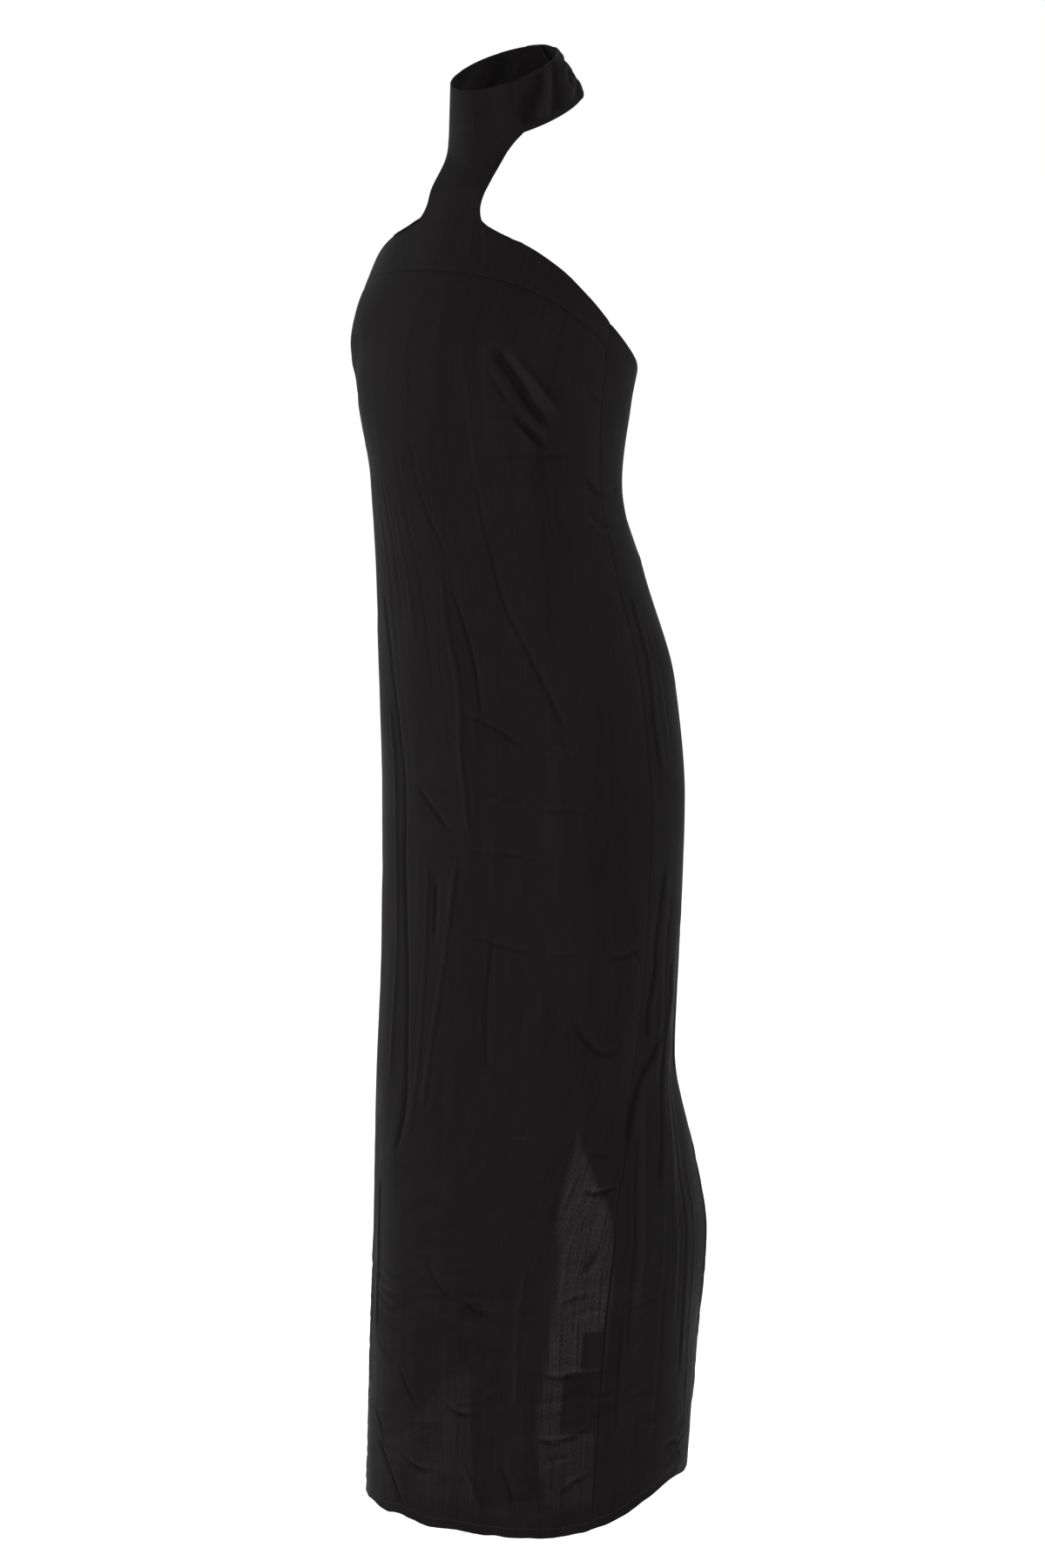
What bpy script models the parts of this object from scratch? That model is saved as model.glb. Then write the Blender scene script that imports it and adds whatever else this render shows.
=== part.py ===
"""A full-length silk halter dress, worn and hollow, with its lining, labels, zip and buttons.

Metres, +Z up. The wearer faces -Y and the wearer's left is +X. The origin is the centre of the
neckband's lower edge, where the neck holds the dress up. A drop is a depth below the origin. An
angle turns round the body from the centre front towards the wearer's left, in degrees in the
tables and in radians in the functions.
"""

import math
from collections import namedtuple

import bmesh
import bpy
import numpy as np
from mathutils import Matrix, Vector

# Cloth and seams
WALL = 0.0014
LINING_WALL = 0.0010
LABEL_WALL = 0.0010
SEAM_GAP = 0.0003
HALF_GAP = SEAM_GAP / 2
LINING_EASE = 0.0040
LINING_EASE_DROP = 0.040
TRIM_EASE = 0.0009
SHARP_ANGLE = math.radians(40)
MERGE_DISTANCE = 0.00001
SLOPE_STEP = 0.0005

# Neckband: a strip round the neck, in a plane that rises to the nape
BAND_HEIGHT = 0.046
BAND_TILT = math.radians(22)
BAND_LOW_HALF_WIDTH = 0.061
BAND_LOW_HALF_DEPTH = 0.072
BAND_TOP_HALF_WIDTH = 0.049
BAND_TOP_HALF_DEPTH = 0.056
BAND_LAP = math.radians(20)
BAND_LAP_RISE = math.radians(20)
BAND_COLUMNS_PER_LAP = 3
BAND_ROWS = 5

# Yoke: the share of its height over which the strap leaves the neckband for the body
YOKE_JOIN = 0.30
YOKE_JOIN_DROP = 0.042
YOKE_LONGEST_STEP = 0.07

# Skirt and bodice panels
SIDE_TOP = 0.191
BACK_TOP = 0.285
BACK_TOP_CURVE = 2.5
BUST_LEVEL = 0.300
FRONT_COLUMNS = 24
BACK_COLUMNS = 12
BUST_ROWS = 4
SKIRT_ROWS = 28
LINING_SKIRT_ROWS = 16

# Centre-back zip
ZIP_LENGTH = 0.400
ZIP_BELOW_TOP = 0.006
ZIP_TAPE_HALF_WIDTH = 0.010
ZIP_TAPE_COLUMNS = 4
ZIP_TAPE_ROWS = 14
ZIP_END_RUN = 0.030
SLIDER_DROP = 0.012
SLIDER_WIDTH = 0.0070
SLIDER_HEIGHT = 0.0100
SLIDER_PLATE = 0.0016
SLIDER_EAR_WIDTH = 0.0012
SLIDER_EAR_HEIGHT = 0.0034
SLIDER_EAR_REACH = 0.0030
SLIDER_BELOW_AXIS = 0.62
PULL_KNUCKLE_RADIUS = 0.0011
PULL_KNUCKLE_WIDTH = 0.0024
PULL_LENGTH = 0.0210
PULL_TOP_WIDTH = 0.0024
PULL_LOW_WIDTH = 0.0062
PULL_THICKNESS = 0.0011
PULL_NECK_LENGTH = 0.0030
PULL_ROUND_STEPS = 8
PULL_KNUCKLE_SIDES = 20

# Neckband buttons
BUTTON_RADIUS = 0.0055
BUTTON_HEIGHT = 0.0036
BUTTON_RIM_SHARE = 0.25
BUTTON_BACK_SHARE = 0.93
BUTTON_DOME_STEPS = 6
BUTTON_SIDES = 24
BUTTON_TURN = math.pi + BAND_LAP / 2
BUTTON_HEIGHTS = {"neck_button_lower": 0.25, "neck_button_upper": 0.72}

# The worn form: half widths and depths of level rings, and how square each ring is
Ring = namedtuple("Ring", "drop half_width front back sway square")
RINGS = (
    Ring(0.030, 0.072, 0.062, 0.070, 0.000, 2.4),
    Ring(0.050, 0.094, 0.073, 0.078, 0.000, 2.4),
    Ring(0.070, 0.114, 0.083, 0.080, 0.000, 2.3),
    Ring(0.095, 0.130, 0.093, 0.081, 0.000, 2.1),
    Ring(0.120, 0.138, 0.104, 0.082, 0.000, 2.0),
    Ring(0.150, 0.143, 0.119, 0.083, 0.000, 2.1),
    Ring(0.185, 0.145, 0.135, 0.084, 0.000, 2.3),
    Ring(0.220, 0.142, 0.145, 0.085, 0.000, 2.4),
    Ring(0.270, 0.133, 0.145, 0.083, 0.000, 2.3),
    Ring(0.345, 0.121, 0.139, 0.083, 0.000, 2.2),
    Ring(0.430, 0.133, 0.129, 0.098, 0.005, 2.2),
    Ring(0.540, 0.151, 0.119, 0.126, 0.010, 2.2),
    Ring(0.650, 0.158, 0.112, 0.130, 0.013, 2.2),
    Ring(0.780, 0.156, 0.112, 0.127, 0.012, 2.2),
    Ring(0.900, 0.152, 0.119, 0.129, 0.008, 2.2),
    Ring(1.000, 0.156, 0.126, 0.158, 0.006, 2.2),
    Ring(1.090, 0.160, 0.130, 0.182, 0.005, 2.2),
    Ring(1.200, 0.161, 0.132, 0.172, 0.003, 2.2),
    Ring(1.380, 0.160, 0.138, 0.154, 0.002, 2.2),
)

# Where the panels' seams run: the lower skirt is turned a little on the body
SeamRow = namedtuple("SeamRow", "drop left_side centre_back right_side")
SEAMS = (
    SeamRow(0.190, 90, 180, 270),
    SeamRow(0.215, 90, 180, 270),
    SeamRow(0.270, 92, 180, 268),
    SeamRow(0.345, 97, 180, 264),
    SeamRow(0.450, 92, 180, 268),
    SeamRow(0.620, 88, 180, 272),
    SeamRow(0.860, 88, 180, 272),
    SeamRow(0.950, 82, 175, 266),
    SeamRow(1.050, 71, 166, 255),
    SeamRow(1.150, 67, 161, 250),
    SeamRow(1.400, 66, 160, 248),
)

# The lining's left side seam, which opens below as a slit: its middle, and how far it gapes
SlitRow = namedtuple("SlitRow", "drop middle gape")
LINING_SLIT = (
    SlitRow(0.190, 90, 0),
    SlitRow(0.300, 90, 0),
    SlitRow(0.400, 92, 0),
    SlitRow(0.620, 86, 0),
    SlitRow(0.800, 76, 0),
    SlitRow(0.950, 61, 0),
    SlitRow(0.990, 60, 8),
    SlitRow(1.055, 60, 20),
    SlitRow(1.140, 58, 20),
    SlitRow(1.250, 56, 21),
    SlitRow(1.340, 59, 14),
)

# The curved seam under the yoke, alike on both sides of the centre front
YokeSeamRow = namedtuple("YokeSeamRow", "angle drop")
YOKE_SEAM = (
    YokeSeamRow(0, 0.143),
    YokeSeamRow(20, 0.144),
    YokeSeamRow(40, 0.151),
    YokeSeamRow(60, 0.163),
    YokeSeamRow(75, 0.188),
    YokeSeamRow(90, 0.213),
)

# The yoke's rows from the neckband down: its edge, and its drop at the edge and centre front
YokeRow = namedtuple("YokeRow", "share half_angle edge_drop centre_drop")
YOKE_ROWS = (
    YokeRow(0.00, 52.0, 0.017, 0.027),
    YokeRow(0.05, 41.0, 0.029, 0.033),
    YokeRow(0.10, 33.5, 0.039, 0.040),
    YokeRow(0.16, 28.5, 0.049, 0.048),
    YokeRow(0.22, 25.5, 0.060, 0.056),
    YokeRow(0.34, 22.5, 0.083, 0.073),
    YokeRow(0.42, 25.0, 0.096, 0.083),
    YokeRow(0.50, 36.0, 0.107, 0.092),
    YokeRow(0.60, 52.0, 0.119, 0.101),
    YokeRow(0.70, 66.0, 0.139, 0.111),
    YokeRow(0.80, 77.0, 0.163, 0.121),
    YokeRow(0.91, 90.0, 0.191, 0.134),
    YokeRow(1.00, 90.0, 0.213, 0.143),
)

# The hems' drops round the skirt, from the right side seam round the front to it again
HemRow = namedtuple("HemRow", "angle outer lining")
HEMS = (
    HemRow(-112, 1.350, 1.320),
    HemRow(-60, 1.357, 1.325),
    HemRow(-40, 1.356, 1.323),
    HemRow(-22, 1.354, 1.290),
    HemRow(-8, 1.353, 1.260),
    HemRow(10, 1.354, 1.205),
    HemRow(19, 1.351, 1.190),
    HemRow(24, 1.350, 1.325),
    HemRow(46, 1.353, 1.325),
    HemRow(70, 1.345, 1.325),
    HemRow(90, 1.329, 1.308),
    HemRow(105, 1.320, 1.298),
    HemRow(120, 1.321, 1.297),
    HemRow(180, 1.332, 1.306),
    HemRow(248, 1.350, 1.320),
)

# The cloth's largest folds: soft troughs and ridges between two places on the body
FOLD_RADIUS = 0.150
Fold = namedtuple("Fold", "from_angle from_drop to_angle to_drop bow width depth")
FOLDS = (
    Fold(41, 0.206, 68, 0.290, 0.004, 0.012, -0.0034),
    Fold(47, 0.208, 72, 0.276, 0.003, 0.011, 0.0022),
    Fold(48, 0.268, 68, 0.312, 0.003, 0.010, -0.0022),
    Fold(-38, 0.205, -66, 0.285, 0.004, 0.013, -0.0024),
    Fold(10, 0.410, 14, 0.690, -0.004, 0.013, 0.0022),
    Fold(16, 0.430, 24, 0.580, 0.004, 0.014, -0.0024),
    Fold(40, 0.450, 58, 0.590, 0.005, 0.018, -0.0024),
    Fold(-34, 0.450, -27, 0.960, 0.004, 0.020, -0.0034),
    Fold(6, 0.690, -8, 0.900, 0.004, 0.017, 0.0022),
    Fold(-10, 0.690, -6, 0.900, 0.000, 0.016, -0.0024),
    Fold(95, 0.740, 80, 0.980, 0.006, 0.016, -0.0044),
    Fold(106, 0.800, 96, 1.060, 0.005, 0.018, 0.0036),
    Fold(118, 0.760, 108, 1.060, 0.004, 0.017, -0.0040),
    Fold(136, 0.700, 132, 1.200, 0.006, 0.026, 0.0050),
    Fold(158, 0.560, 152, 1.150, -0.004, 0.024, -0.0050),
    Fold(186, 0.620, 178, 1.280, 0.005, 0.028, 0.0040),
    Fold(212, 0.560, 200, 1.200, -0.005, 0.024, -0.0046),
    Fold(238, 0.700, 226, 1.300, 0.004, 0.026, 0.0040),
    Fold(262, 0.620, 244, 1.150, -0.004, 0.022, -0.0040),
    Fold(-58, 0.700, -66, 1.250, 0.004, 0.024, 0.0030),
    Fold(32, 1.000, 30, 1.350, 0.004, 0.024, 0.0030),
    Fold(4, 1.050, 6, 1.360, 0.003, 0.026, -0.0030),
    Fold(84, 1.080, 82, 1.340, 0.004, 0.020, -0.0036),
    Fold(140, 0.300, 120, 0.420, 0.004, 0.014, -0.0026),
    Fold(220, 0.300, 240, 0.420, -0.004, 0.014, -0.0026),
)

# Crumples in the neckband, by the turn round the neck and the share of its height
Crumple = namedtuple("Crumple", "from_turn from_height to_turn to_height width depth")
CRUMPLES = (
    Crumple(86, 1.00, 52, 0.10, 0.0060, -0.0022),
    Crumple(98, 0.95, 68, 0.05, 0.0055, 0.0020),
    Crumple(112, 1.00, 82, 0.10, 0.0065, -0.0026),
    Crumple(130, 0.90, 104, 0.15, 0.0060, 0.0018),
    Crumple(-84, 1.00, -56, 0.15, 0.0060, -0.0020),
    Crumple(-108, 0.95, -80, 0.05, 0.0065, 0.0020),
    Crumple(-132, 1.00, -110, 0.10, 0.0065, -0.0022),
)

# Labels inside the left side seam: the seam's edge, and how far each reaches forward from it
LabelRow = namedtuple("LabelRow", "name top_drop low_drop reach columns rows")
LABELS = (
    LabelRow("care_label_upper", 1.150, 1.186, 0.023, 3, 3),
    LabelRow("care_label_lower", 1.188, 1.249, 0.038, 4, 4),
)

# Colours are linear
BLACK_SILK = (0.0123, 0.0110, 0.0112, 1)
BLACK_LINING = (0.0075, 0.0072, 0.0075, 1)
BLACK_LABEL = (0.0160, 0.0155, 0.0158, 1)
DARK_TAPE = (0.0065, 0.0065, 0.0068, 1)
DARK_METAL = (0.0200, 0.0200, 0.0210, 1)
SILK_ROUGHNESS = 0.7
SMOOTH_ROUGHNESS = 0.6
METAL_ROUGHNESS = 0.4


def column_at(rows, column, place):
    """A table's column at a place along its first column, with no bump past its own rows."""
    knots = np.array([row[0] for row in rows], dtype=float)
    values = np.array([getattr(row, column) for row in rows], dtype=float)
    steps = np.diff(knots)
    rates = np.diff(values) / steps
    product = rates[:-1] * rates[1:]
    total = np.where(product > 0, rates[:-1] + rates[1:], 1.0)
    inner = np.where(product > 0, 2 * product / total, 0.0)
    slopes = np.concatenate([rates[:1], inner, rates[-1:]])
    upper = np.clip(np.searchsorted(knots, place), 1, len(knots) - 1)
    lower = upper - 1
    step = steps[lower]
    t = np.clip((place - knots[lower]) / step, 0.0, 1.0)
    rise = t * t * (3 - 2 * t)
    bend = t * (1 - t)
    return (
        values[lower] * (1 - rise)
        + values[upper] * rise
        + step * bend * ((1 - t) * slopes[lower] - t * slopes[upper])
    )


def smooth_step(value):
    """0 below 0, 1 above 1, and an even rise between."""
    t = np.clip(value, 0.0, 1.0)
    return t * t * (3 - 2 * t)


def soft_line(x, y, start, end, bow, width, depth):
    """The height at (x, y) of a soft fold that runs from start to end and fades at its ends."""
    run = (end[0] - start[0], end[1] - start[1])
    length = math.hypot(*run)
    along = ((x - start[0]) * run[0] + (y - start[1]) * run[1]) / length**2
    across = ((x - start[0]) * run[1] - (y - start[1]) * run[0]) / length
    inside = np.clip(4 * along * (1 - along), 0.0, 1.0)
    return depth * np.sqrt(inside) * np.exp(-(((across - bow * inside) / width) ** 2))


def ring_reach(angle, drop):
    """How far the cloth's outer face is from its ring's centre."""
    half_width = column_at(RINGS, "half_width", drop)
    depth = (column_at(RINGS, "front", drop) + column_at(RINGS, "back", drop)) / 2
    square = column_at(RINGS, "square", drop)
    across = np.abs(np.sin(angle)) / half_width
    along = np.abs(np.cos(angle)) / depth
    return (across**square + along**square) ** (-1 / square)


def fold_height(angle, drop, reach):
    """How far all the folds together move the cloth out."""
    height = np.zeros_like(reach)
    for fold in FOLDS:
        middle = math.radians((fold.from_angle + fold.to_angle) / 2)
        offset = (angle - middle + math.pi) % (2 * math.pi) - math.pi
        half_turn = math.radians(fold.to_angle - fold.from_angle) / 2
        start = (-half_turn * FOLD_RADIUS, fold.from_drop)
        end = (half_turn * FOLD_RADIUS, fold.to_drop)
        height += soft_line(offset * reach, drop, start, end, fold.bow, fold.width, fold.depth)
    return height


def body(angle, drop):
    """The worn cloth's outer face."""
    angle, drop = np.broadcast_arrays(angle, drop)
    reach = ring_reach(angle, drop)
    reach = reach + fold_height(angle, drop, reach)
    centre = (column_at(RINGS, "back", drop) - column_at(RINGS, "front", drop)) / 2
    x = column_at(RINGS, "sway", drop) + reach * np.sin(angle)
    y = centre - reach * np.cos(angle)
    return np.stack([x, y, -drop], axis=-1)


def neckband(turn, fall):
    """The neckband's outer face; fall runs from 0 at its top edge to 1 at its lower edge."""
    turn, fall = np.broadcast_arrays(turn, fall)
    height = 1 - fall
    lift = (WALL + SEAM_GAP) * smooth_step((turn - math.pi + BAND_LAP_RISE) / BAND_LAP_RISE)
    around = BAND_LOW_HALF_WIDTH * turn
    for row in CRUMPLES:
        start = (BAND_LOW_HALF_WIDTH * math.radians(row.from_turn), BAND_HEIGHT * row.from_height)
        end = (BAND_LOW_HALF_WIDTH * math.radians(row.to_turn), BAND_HEIGHT * row.to_height)
        lift = lift + soft_line(around, BAND_HEIGHT * height, start, end, 0.0, row.width, row.depth)
    half_width = BAND_LOW_HALF_WIDTH + (BAND_TOP_HALF_WIDTH - BAND_LOW_HALF_WIDTH) * height + lift
    half_depth = BAND_LOW_HALF_DEPTH + (BAND_TOP_HALF_DEPTH - BAND_LOW_HALF_DEPTH) * height + lift
    along = -half_depth * np.cos(turn)
    up = height * BAND_HEIGHT
    x = half_width * np.sin(turn)
    y = along * math.cos(BAND_TILT) - up * math.sin(BAND_TILT)
    z = along * math.sin(BAND_TILT) + up * math.cos(BAND_TILT)
    return np.stack([x, y, z], axis=-1)


def yoke_seam_drop(angle):
    """The drop of the seam under the yoke."""
    return column_at(YOKE_SEAM, "drop", np.abs(np.degrees(angle)))


def seam_slant(angle, drop):
    """How much further apart two edges are set in drop, so that a slanted seam keeps its gap."""
    rise = yoke_seam_drop(angle + SLOPE_STEP) - yoke_seam_drop(angle - SLOPE_STEP)
    return np.sqrt(1 + (rise / (2 * SLOPE_STEP * ring_reach(angle, drop))) ** 2)


def yoke(across, fall):
    """The yoke's outer face; across runs from -1 to 1 and fall from 0 to 1 at the seam."""
    across, fall = np.broadcast_arrays(across, fall)
    half_angle = np.radians(column_at(YOKE_ROWS, "half_angle", fall))
    centre = column_at(YOKE_ROWS, "centre_drop", fall)
    edge = column_at(YOKE_ROWS, "edge_drop", fall)
    seam_centre = yoke_seam_drop(0.0)
    seam_fall = yoke_seam_drop(across * math.pi / 2) - seam_centre
    share = seam_fall / (yoke_seam_drop(math.pi / 2) - seam_centre)
    angle = across * half_angle
    drop = centre + (edge - centre) * share
    drop = drop - HALF_GAP * seam_slant(angle, drop) * smooth_step(fall)
    side = 1 - HALF_GAP / ring_reach(angle, drop) / (math.pi / 2) * smooth_step(fall)
    below = SEAM_GAP + fall * YOKE_JOIN_DROP / YOKE_JOIN
    strap = neckband(angle, 1 + below / BAND_HEIGHT)
    joined = smooth_step(fall / YOKE_JOIN)[..., None]
    return strap * (1 - joined) + body(angle * side, drop) * joined


def outward(surface, across, down):
    """Unit normals of a surface, out from the body."""
    d_across = surface(across + SLOPE_STEP, down) - surface(across - SLOPE_STEP, down)
    d_down = surface(across, down + SLOPE_STEP) - surface(across, down - SLOPE_STEP)
    normal = np.cross(d_down, d_across)
    return normal / np.linalg.norm(normal, axis=-1, keepdims=True)


def seam_angle(rows, column, drop):
    """A seam's angle at a drop."""
    return np.radians(column_at(rows, column, drop))


def hem_drop(column, angle):
    """A hem's drop at an angle that may be given from either side of the right side seam."""
    first = HEMS[0].angle
    return column_at(HEMS, column, (np.degrees(angle) - first) % 360 + first)


def outer_hem(angle):
    """The outer hem's drop at an angle."""
    return hem_drop("outer", angle)


def lining_hem(angle):
    """The lining hem's drop at an angle."""
    return hem_drop("lining", angle)


def back_top_drop(share):
    """The back's top edge, from the side seam (0) down to the centre back (1)."""
    return SIDE_TOP + (BACK_TOP - SIDE_TOP) * (1 - (1 - share) ** BACK_TOP_CURVE)


def finish_object(name, mesh, material):
    """Links a new object with its material and smooth faces."""
    mesh.shade_smooth()
    mesh.set_sharp_from_angle(angle=SHARP_ANGLE)
    mesh.materials.append(material)
    made = bpy.data.objects.new(name, mesh)
    bpy.context.scene.collection.objects.link(made)
    return made


def wall(name, outer, inner, material):
    """One closed wall between two grids of points, in columns across and rows down."""
    columns, rows = outer.shape[0], outer.shape[1]
    bm = bmesh.new()
    front = [[bm.verts.new(point) for point in column] for column in outer]
    back = [[bm.verts.new(point) for point in column] for column in inner]
    for i in range(columns - 1):
        for j in range(rows - 1):
            bm.faces.new((front[i][j], front[i][j + 1], front[i + 1][j + 1], front[i + 1][j]))
            bm.faces.new((back[i][j], back[i + 1][j], back[i + 1][j + 1], back[i][j + 1]))
    edge = [(0, j) for j in range(rows - 1)]
    edge += [(i, rows - 1) for i in range(columns - 1)]
    edge += [(columns - 1, j) for j in range(rows - 1, 0, -1)]
    edge += [(i, 0) for i in range(columns - 1, 0, -1)]
    for (i, j), (k, m) in zip(edge, edge[1:] + edge[:1]):
        bm.faces.new((front[k][m], front[i][j], back[i][j], back[k][m]))
    mesh = bpy.data.meshes.new(name)
    bm.to_mesh(mesh)
    bm.free()
    return finish_object(name, mesh, material)


def cloth(name, surface, across, down, thickness, material, inset=0.0):
    """A wall of cloth that follows a surface, its outer face inset by a depth or a grid of them."""
    points = surface(across, down)
    normals = outward(surface, across, down)
    depth = np.broadcast_to(inset, across.shape)[..., None]
    return wall(name, points - normals * depth, points - normals * (depth + thickness), material)


def bust_shares(top_at_side):
    """Shares of the way from a panel's top edge to bust level; all panels' rows meet at the side."""
    yoke_end = YOKE_SEAM[-1].drop
    first = (yoke_end - top_at_side) / (BUST_LEVEL - top_at_side)
    shares = np.linspace(first, 1, BUST_ROWS + 1)
    return shares if first == 0 else np.concatenate([[0], shares])


def panel_grid(shares, top, bust, hem, edges, skirt_rows):
    """Angles and drops of a panel between two seams, in columns at shares of its width.

    top gives the first row's drop at each share, bust the shares of the rows down to bust level,
    and hem the last row's drop at an angle. edges gives the two seams' angles at a drop.
    """
    left, right = edges
    top_drops = top(shares)
    last_bust = len(bust) - 1
    angles = np.zeros((len(shares), len(bust) + skirt_rows))
    drops = np.zeros_like(angles)
    for row in range(len(bust) + skirt_rows):
        if row <= last_bust:
            drop = top_drops + (BUST_LEVEL - top_drops) * bust[row]
        else:
            share = (row - last_bust) / skirt_rows
            level = BUST_LEVEL + (hem(angles[:, row - 1]) - BUST_LEVEL) * share
            angle = left(level) + (right(level) - left(level)) * shares
            drop = BUST_LEVEL + (hem(angle) - BUST_LEVEL) * share
        start = left(drop)
        end = right(drop)
        shift = HALF_GAP / ring_reach(start + (end - start) * shares, drop)
        start = start + shift
        end = end - shift
        angles[:, row] = start + (end - start) * shares
        drops[:, row] = drop
    return angles, drops


def seam(column, turns=0):
    """A panel seam as a function of drop, moved by whole turns."""
    return lambda drop: seam_angle(SEAMS, column, drop) + turns * 2 * math.pi


def slit(side):
    """An edge of the lining's left side seam as a function of drop: -1 in front, 1 behind."""
    return lambda drop: (
        seam_angle(LINING_SLIT, "middle", drop) + side * seam_angle(LINING_SLIT, "gape", drop) / 2
    )


def front_top(shares):
    """The front panel's top edge, just under the yoke."""
    angle = (shares * 2 - 1) * math.pi / 2
    drop = yoke_seam_drop(angle)
    return drop + HALF_GAP * seam_slant(angle, drop)


def zip_clearance(drop):
    """How far the lining's centre-back edges stand off the seam: clear of the tape, then shut."""
    shut = smooth_step((drop - BACK_TOP - ZIP_BELOW_TOP - ZIP_LENGTH - SEAM_GAP) / ZIP_END_RUN)
    return (ZIP_TAPE_HALF_WIDTH + SEAM_GAP) * (1 - shut)


def lining_inset(drops):
    """The lining's depth under the outer face: seated at its top edge, then a few mm clear."""
    fall = (drops - drops[:, :1]) / LINING_EASE_DROP
    return WALL + SEAM_GAP + (LINING_EASE - SEAM_GAP) * smooth_step(fall)


def make_material(name, colour, roughness, metallic=0.0):
    """A plain material of one finish."""
    material = bpy.data.materials.new(name)
    material.use_nodes = True
    shader = material.node_tree.nodes["Principled BSDF"]
    shader.inputs["Base Color"].default_value = colour
    shader.inputs["Roughness"].default_value = roughness
    shader.inputs["Metallic"].default_value = metallic
    material.diffuse_color = colour
    return material


def make_neckband():
    """The stand collar strip, lapped at the nape with the wearer's left end on top."""
    column_turn = BAND_LAP / BAND_COLUMNS_PER_LAP
    columns = round((2 * math.pi + BAND_LAP) / column_turn)
    turns = -math.pi + column_turn * np.arange(columns + 1)
    falls = np.linspace(0, 1, BAND_ROWS + 1)
    across, down = np.meshgrid(turns, falls, indexing="ij")
    material = make_material("neckband_silk", BLACK_SILK, SILK_ROUGHNESS)
    cloth("neckband", neckband, across, down, WALL, material)


def make_yoke():
    """The strap from the neckband and the shaped yoke that spreads to the side seams."""
    shares = np.linspace(-1, 1, FRONT_COLUMNS + 1)
    knots = [row.share for row in YOKE_ROWS]
    pairs = zip(knots, knots[1:])
    middles = [(low + high) / 2 for low, high in pairs if high - low > YOKE_LONGEST_STEP]
    across, down = np.meshgrid(shares, sorted(knots + middles), indexing="ij")
    cloth("front_yoke", yoke, across, down, WALL, make_material("yoke_silk", BLACK_SILK, SILK_ROUGHNESS))


def make_front_panel():
    """The long front, from the yoke seam to the hem."""
    shares = np.linspace(0, 1, FRONT_COLUMNS + 1)
    edges = (seam("right_side", -1), seam("left_side"))
    bust = bust_shares(YOKE_SEAM[-1].drop)
    across, down = panel_grid(shares, front_top, bust, outer_hem, edges, SKIRT_ROWS)
    cloth("front_panel", body, across, down, WALL, make_material("front_silk", BLACK_SILK, SILK_ROUGHNESS))


def make_backs():
    """The two long backs, which meet at the centre-back seam."""
    shares = np.linspace(0, 1, BACK_COLUMNS + 1)
    sides = (
        ("back_left", back_top_drop, (seam("left_side"), seam("centre_back"))),
        ("back_right", lambda s: back_top_drop(1 - s), (seam("centre_back"), seam("right_side"))),
    )
    for name, top, edges in sides:
        across, down = panel_grid(shares, top, bust_shares(SIDE_TOP), outer_hem, edges, SKIRT_ROWS)
        cloth(name, body, across, down, WALL, make_material(name + "_silk", BLACK_SILK, SILK_ROUGHNESS))


def beside_zip(side):
    """The lining's centre-back edge as a function of drop: -1 on the left back, 1 on the right."""
    return lambda drop: (
        seam_angle(SEAMS, "centre_back", drop) + side * zip_clearance(drop) / ring_reach(math.pi, drop)
    )


def make_lining():
    """The lining: a front and two backs, open below the left hip and round the zip."""
    front = ("lining_front", FRONT_COLUMNS // 2, front_top, YOKE_SEAM[-1].drop)
    left = ("lining_back_left", BACK_COLUMNS // 2, back_top_drop, SIDE_TOP)
    right = ("lining_back_right", BACK_COLUMNS // 2, lambda s: back_top_drop(1 - s), SIDE_TOP)
    pieces = (
        (front, (seam("right_side", -1), slit(-1))),
        (left, (slit(1), beside_zip(-1))),
        (right, (beside_zip(1), seam("right_side"))),
    )
    for (name, columns, top, top_at_side), edges in pieces:
        shares = np.linspace(0, 1, columns + 1)
        bust = bust_shares(top_at_side)
        across, down = panel_grid(shares, top, bust, lining_hem, edges, LINING_SKIRT_ROWS)
        material = make_material(name + "_silk", BLACK_LINING, SMOOTH_ROUGHNESS)
        cloth(name, body, across, down, LINING_WALL, material, lining_inset(down))


def make_labels():
    """Two bare care labels, caught by one edge in the left side seam."""
    material = make_material("label_tape", BLACK_LABEL, SMOOTH_ROUGHNESS)
    for row in LABELS:
        reaches = np.linspace(row.reach, 0, row.columns + 1)
        drops = np.linspace(row.top_drop, row.low_drop, row.rows + 1)
        forward, down = np.meshgrid(reaches, drops, indexing="ij")
        edge = seam_angle(SEAMS, "left_side", down)
        across = edge - (forward + SEAM_GAP) / ring_reach(edge, down)
        cloth(row.name, body, across, down, LABEL_WALL, material, WALL + TRIM_EASE)


def make_zip_tape():
    """The tape of the concealed zip, inside the centre-back seam."""
    offsets = np.linspace(-ZIP_TAPE_HALF_WIDTH, ZIP_TAPE_HALF_WIDTH, ZIP_TAPE_COLUMNS + 1)
    first = BACK_TOP + ZIP_BELOW_TOP
    drops = np.linspace(first, first + ZIP_LENGTH, ZIP_TAPE_ROWS + 1)
    offset, down = np.meshgrid(offsets, drops, indexing="ij")
    centre = seam_angle(SEAMS, "centre_back", down)
    across = centre + offset / ring_reach(centre, down)
    material = make_material("zip_tape_weave", DARK_TAPE, SILK_ROUGHNESS)
    cloth("zip_tape", body, across, down, LABEL_WALL, material, WALL + TRIM_EASE)


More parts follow.
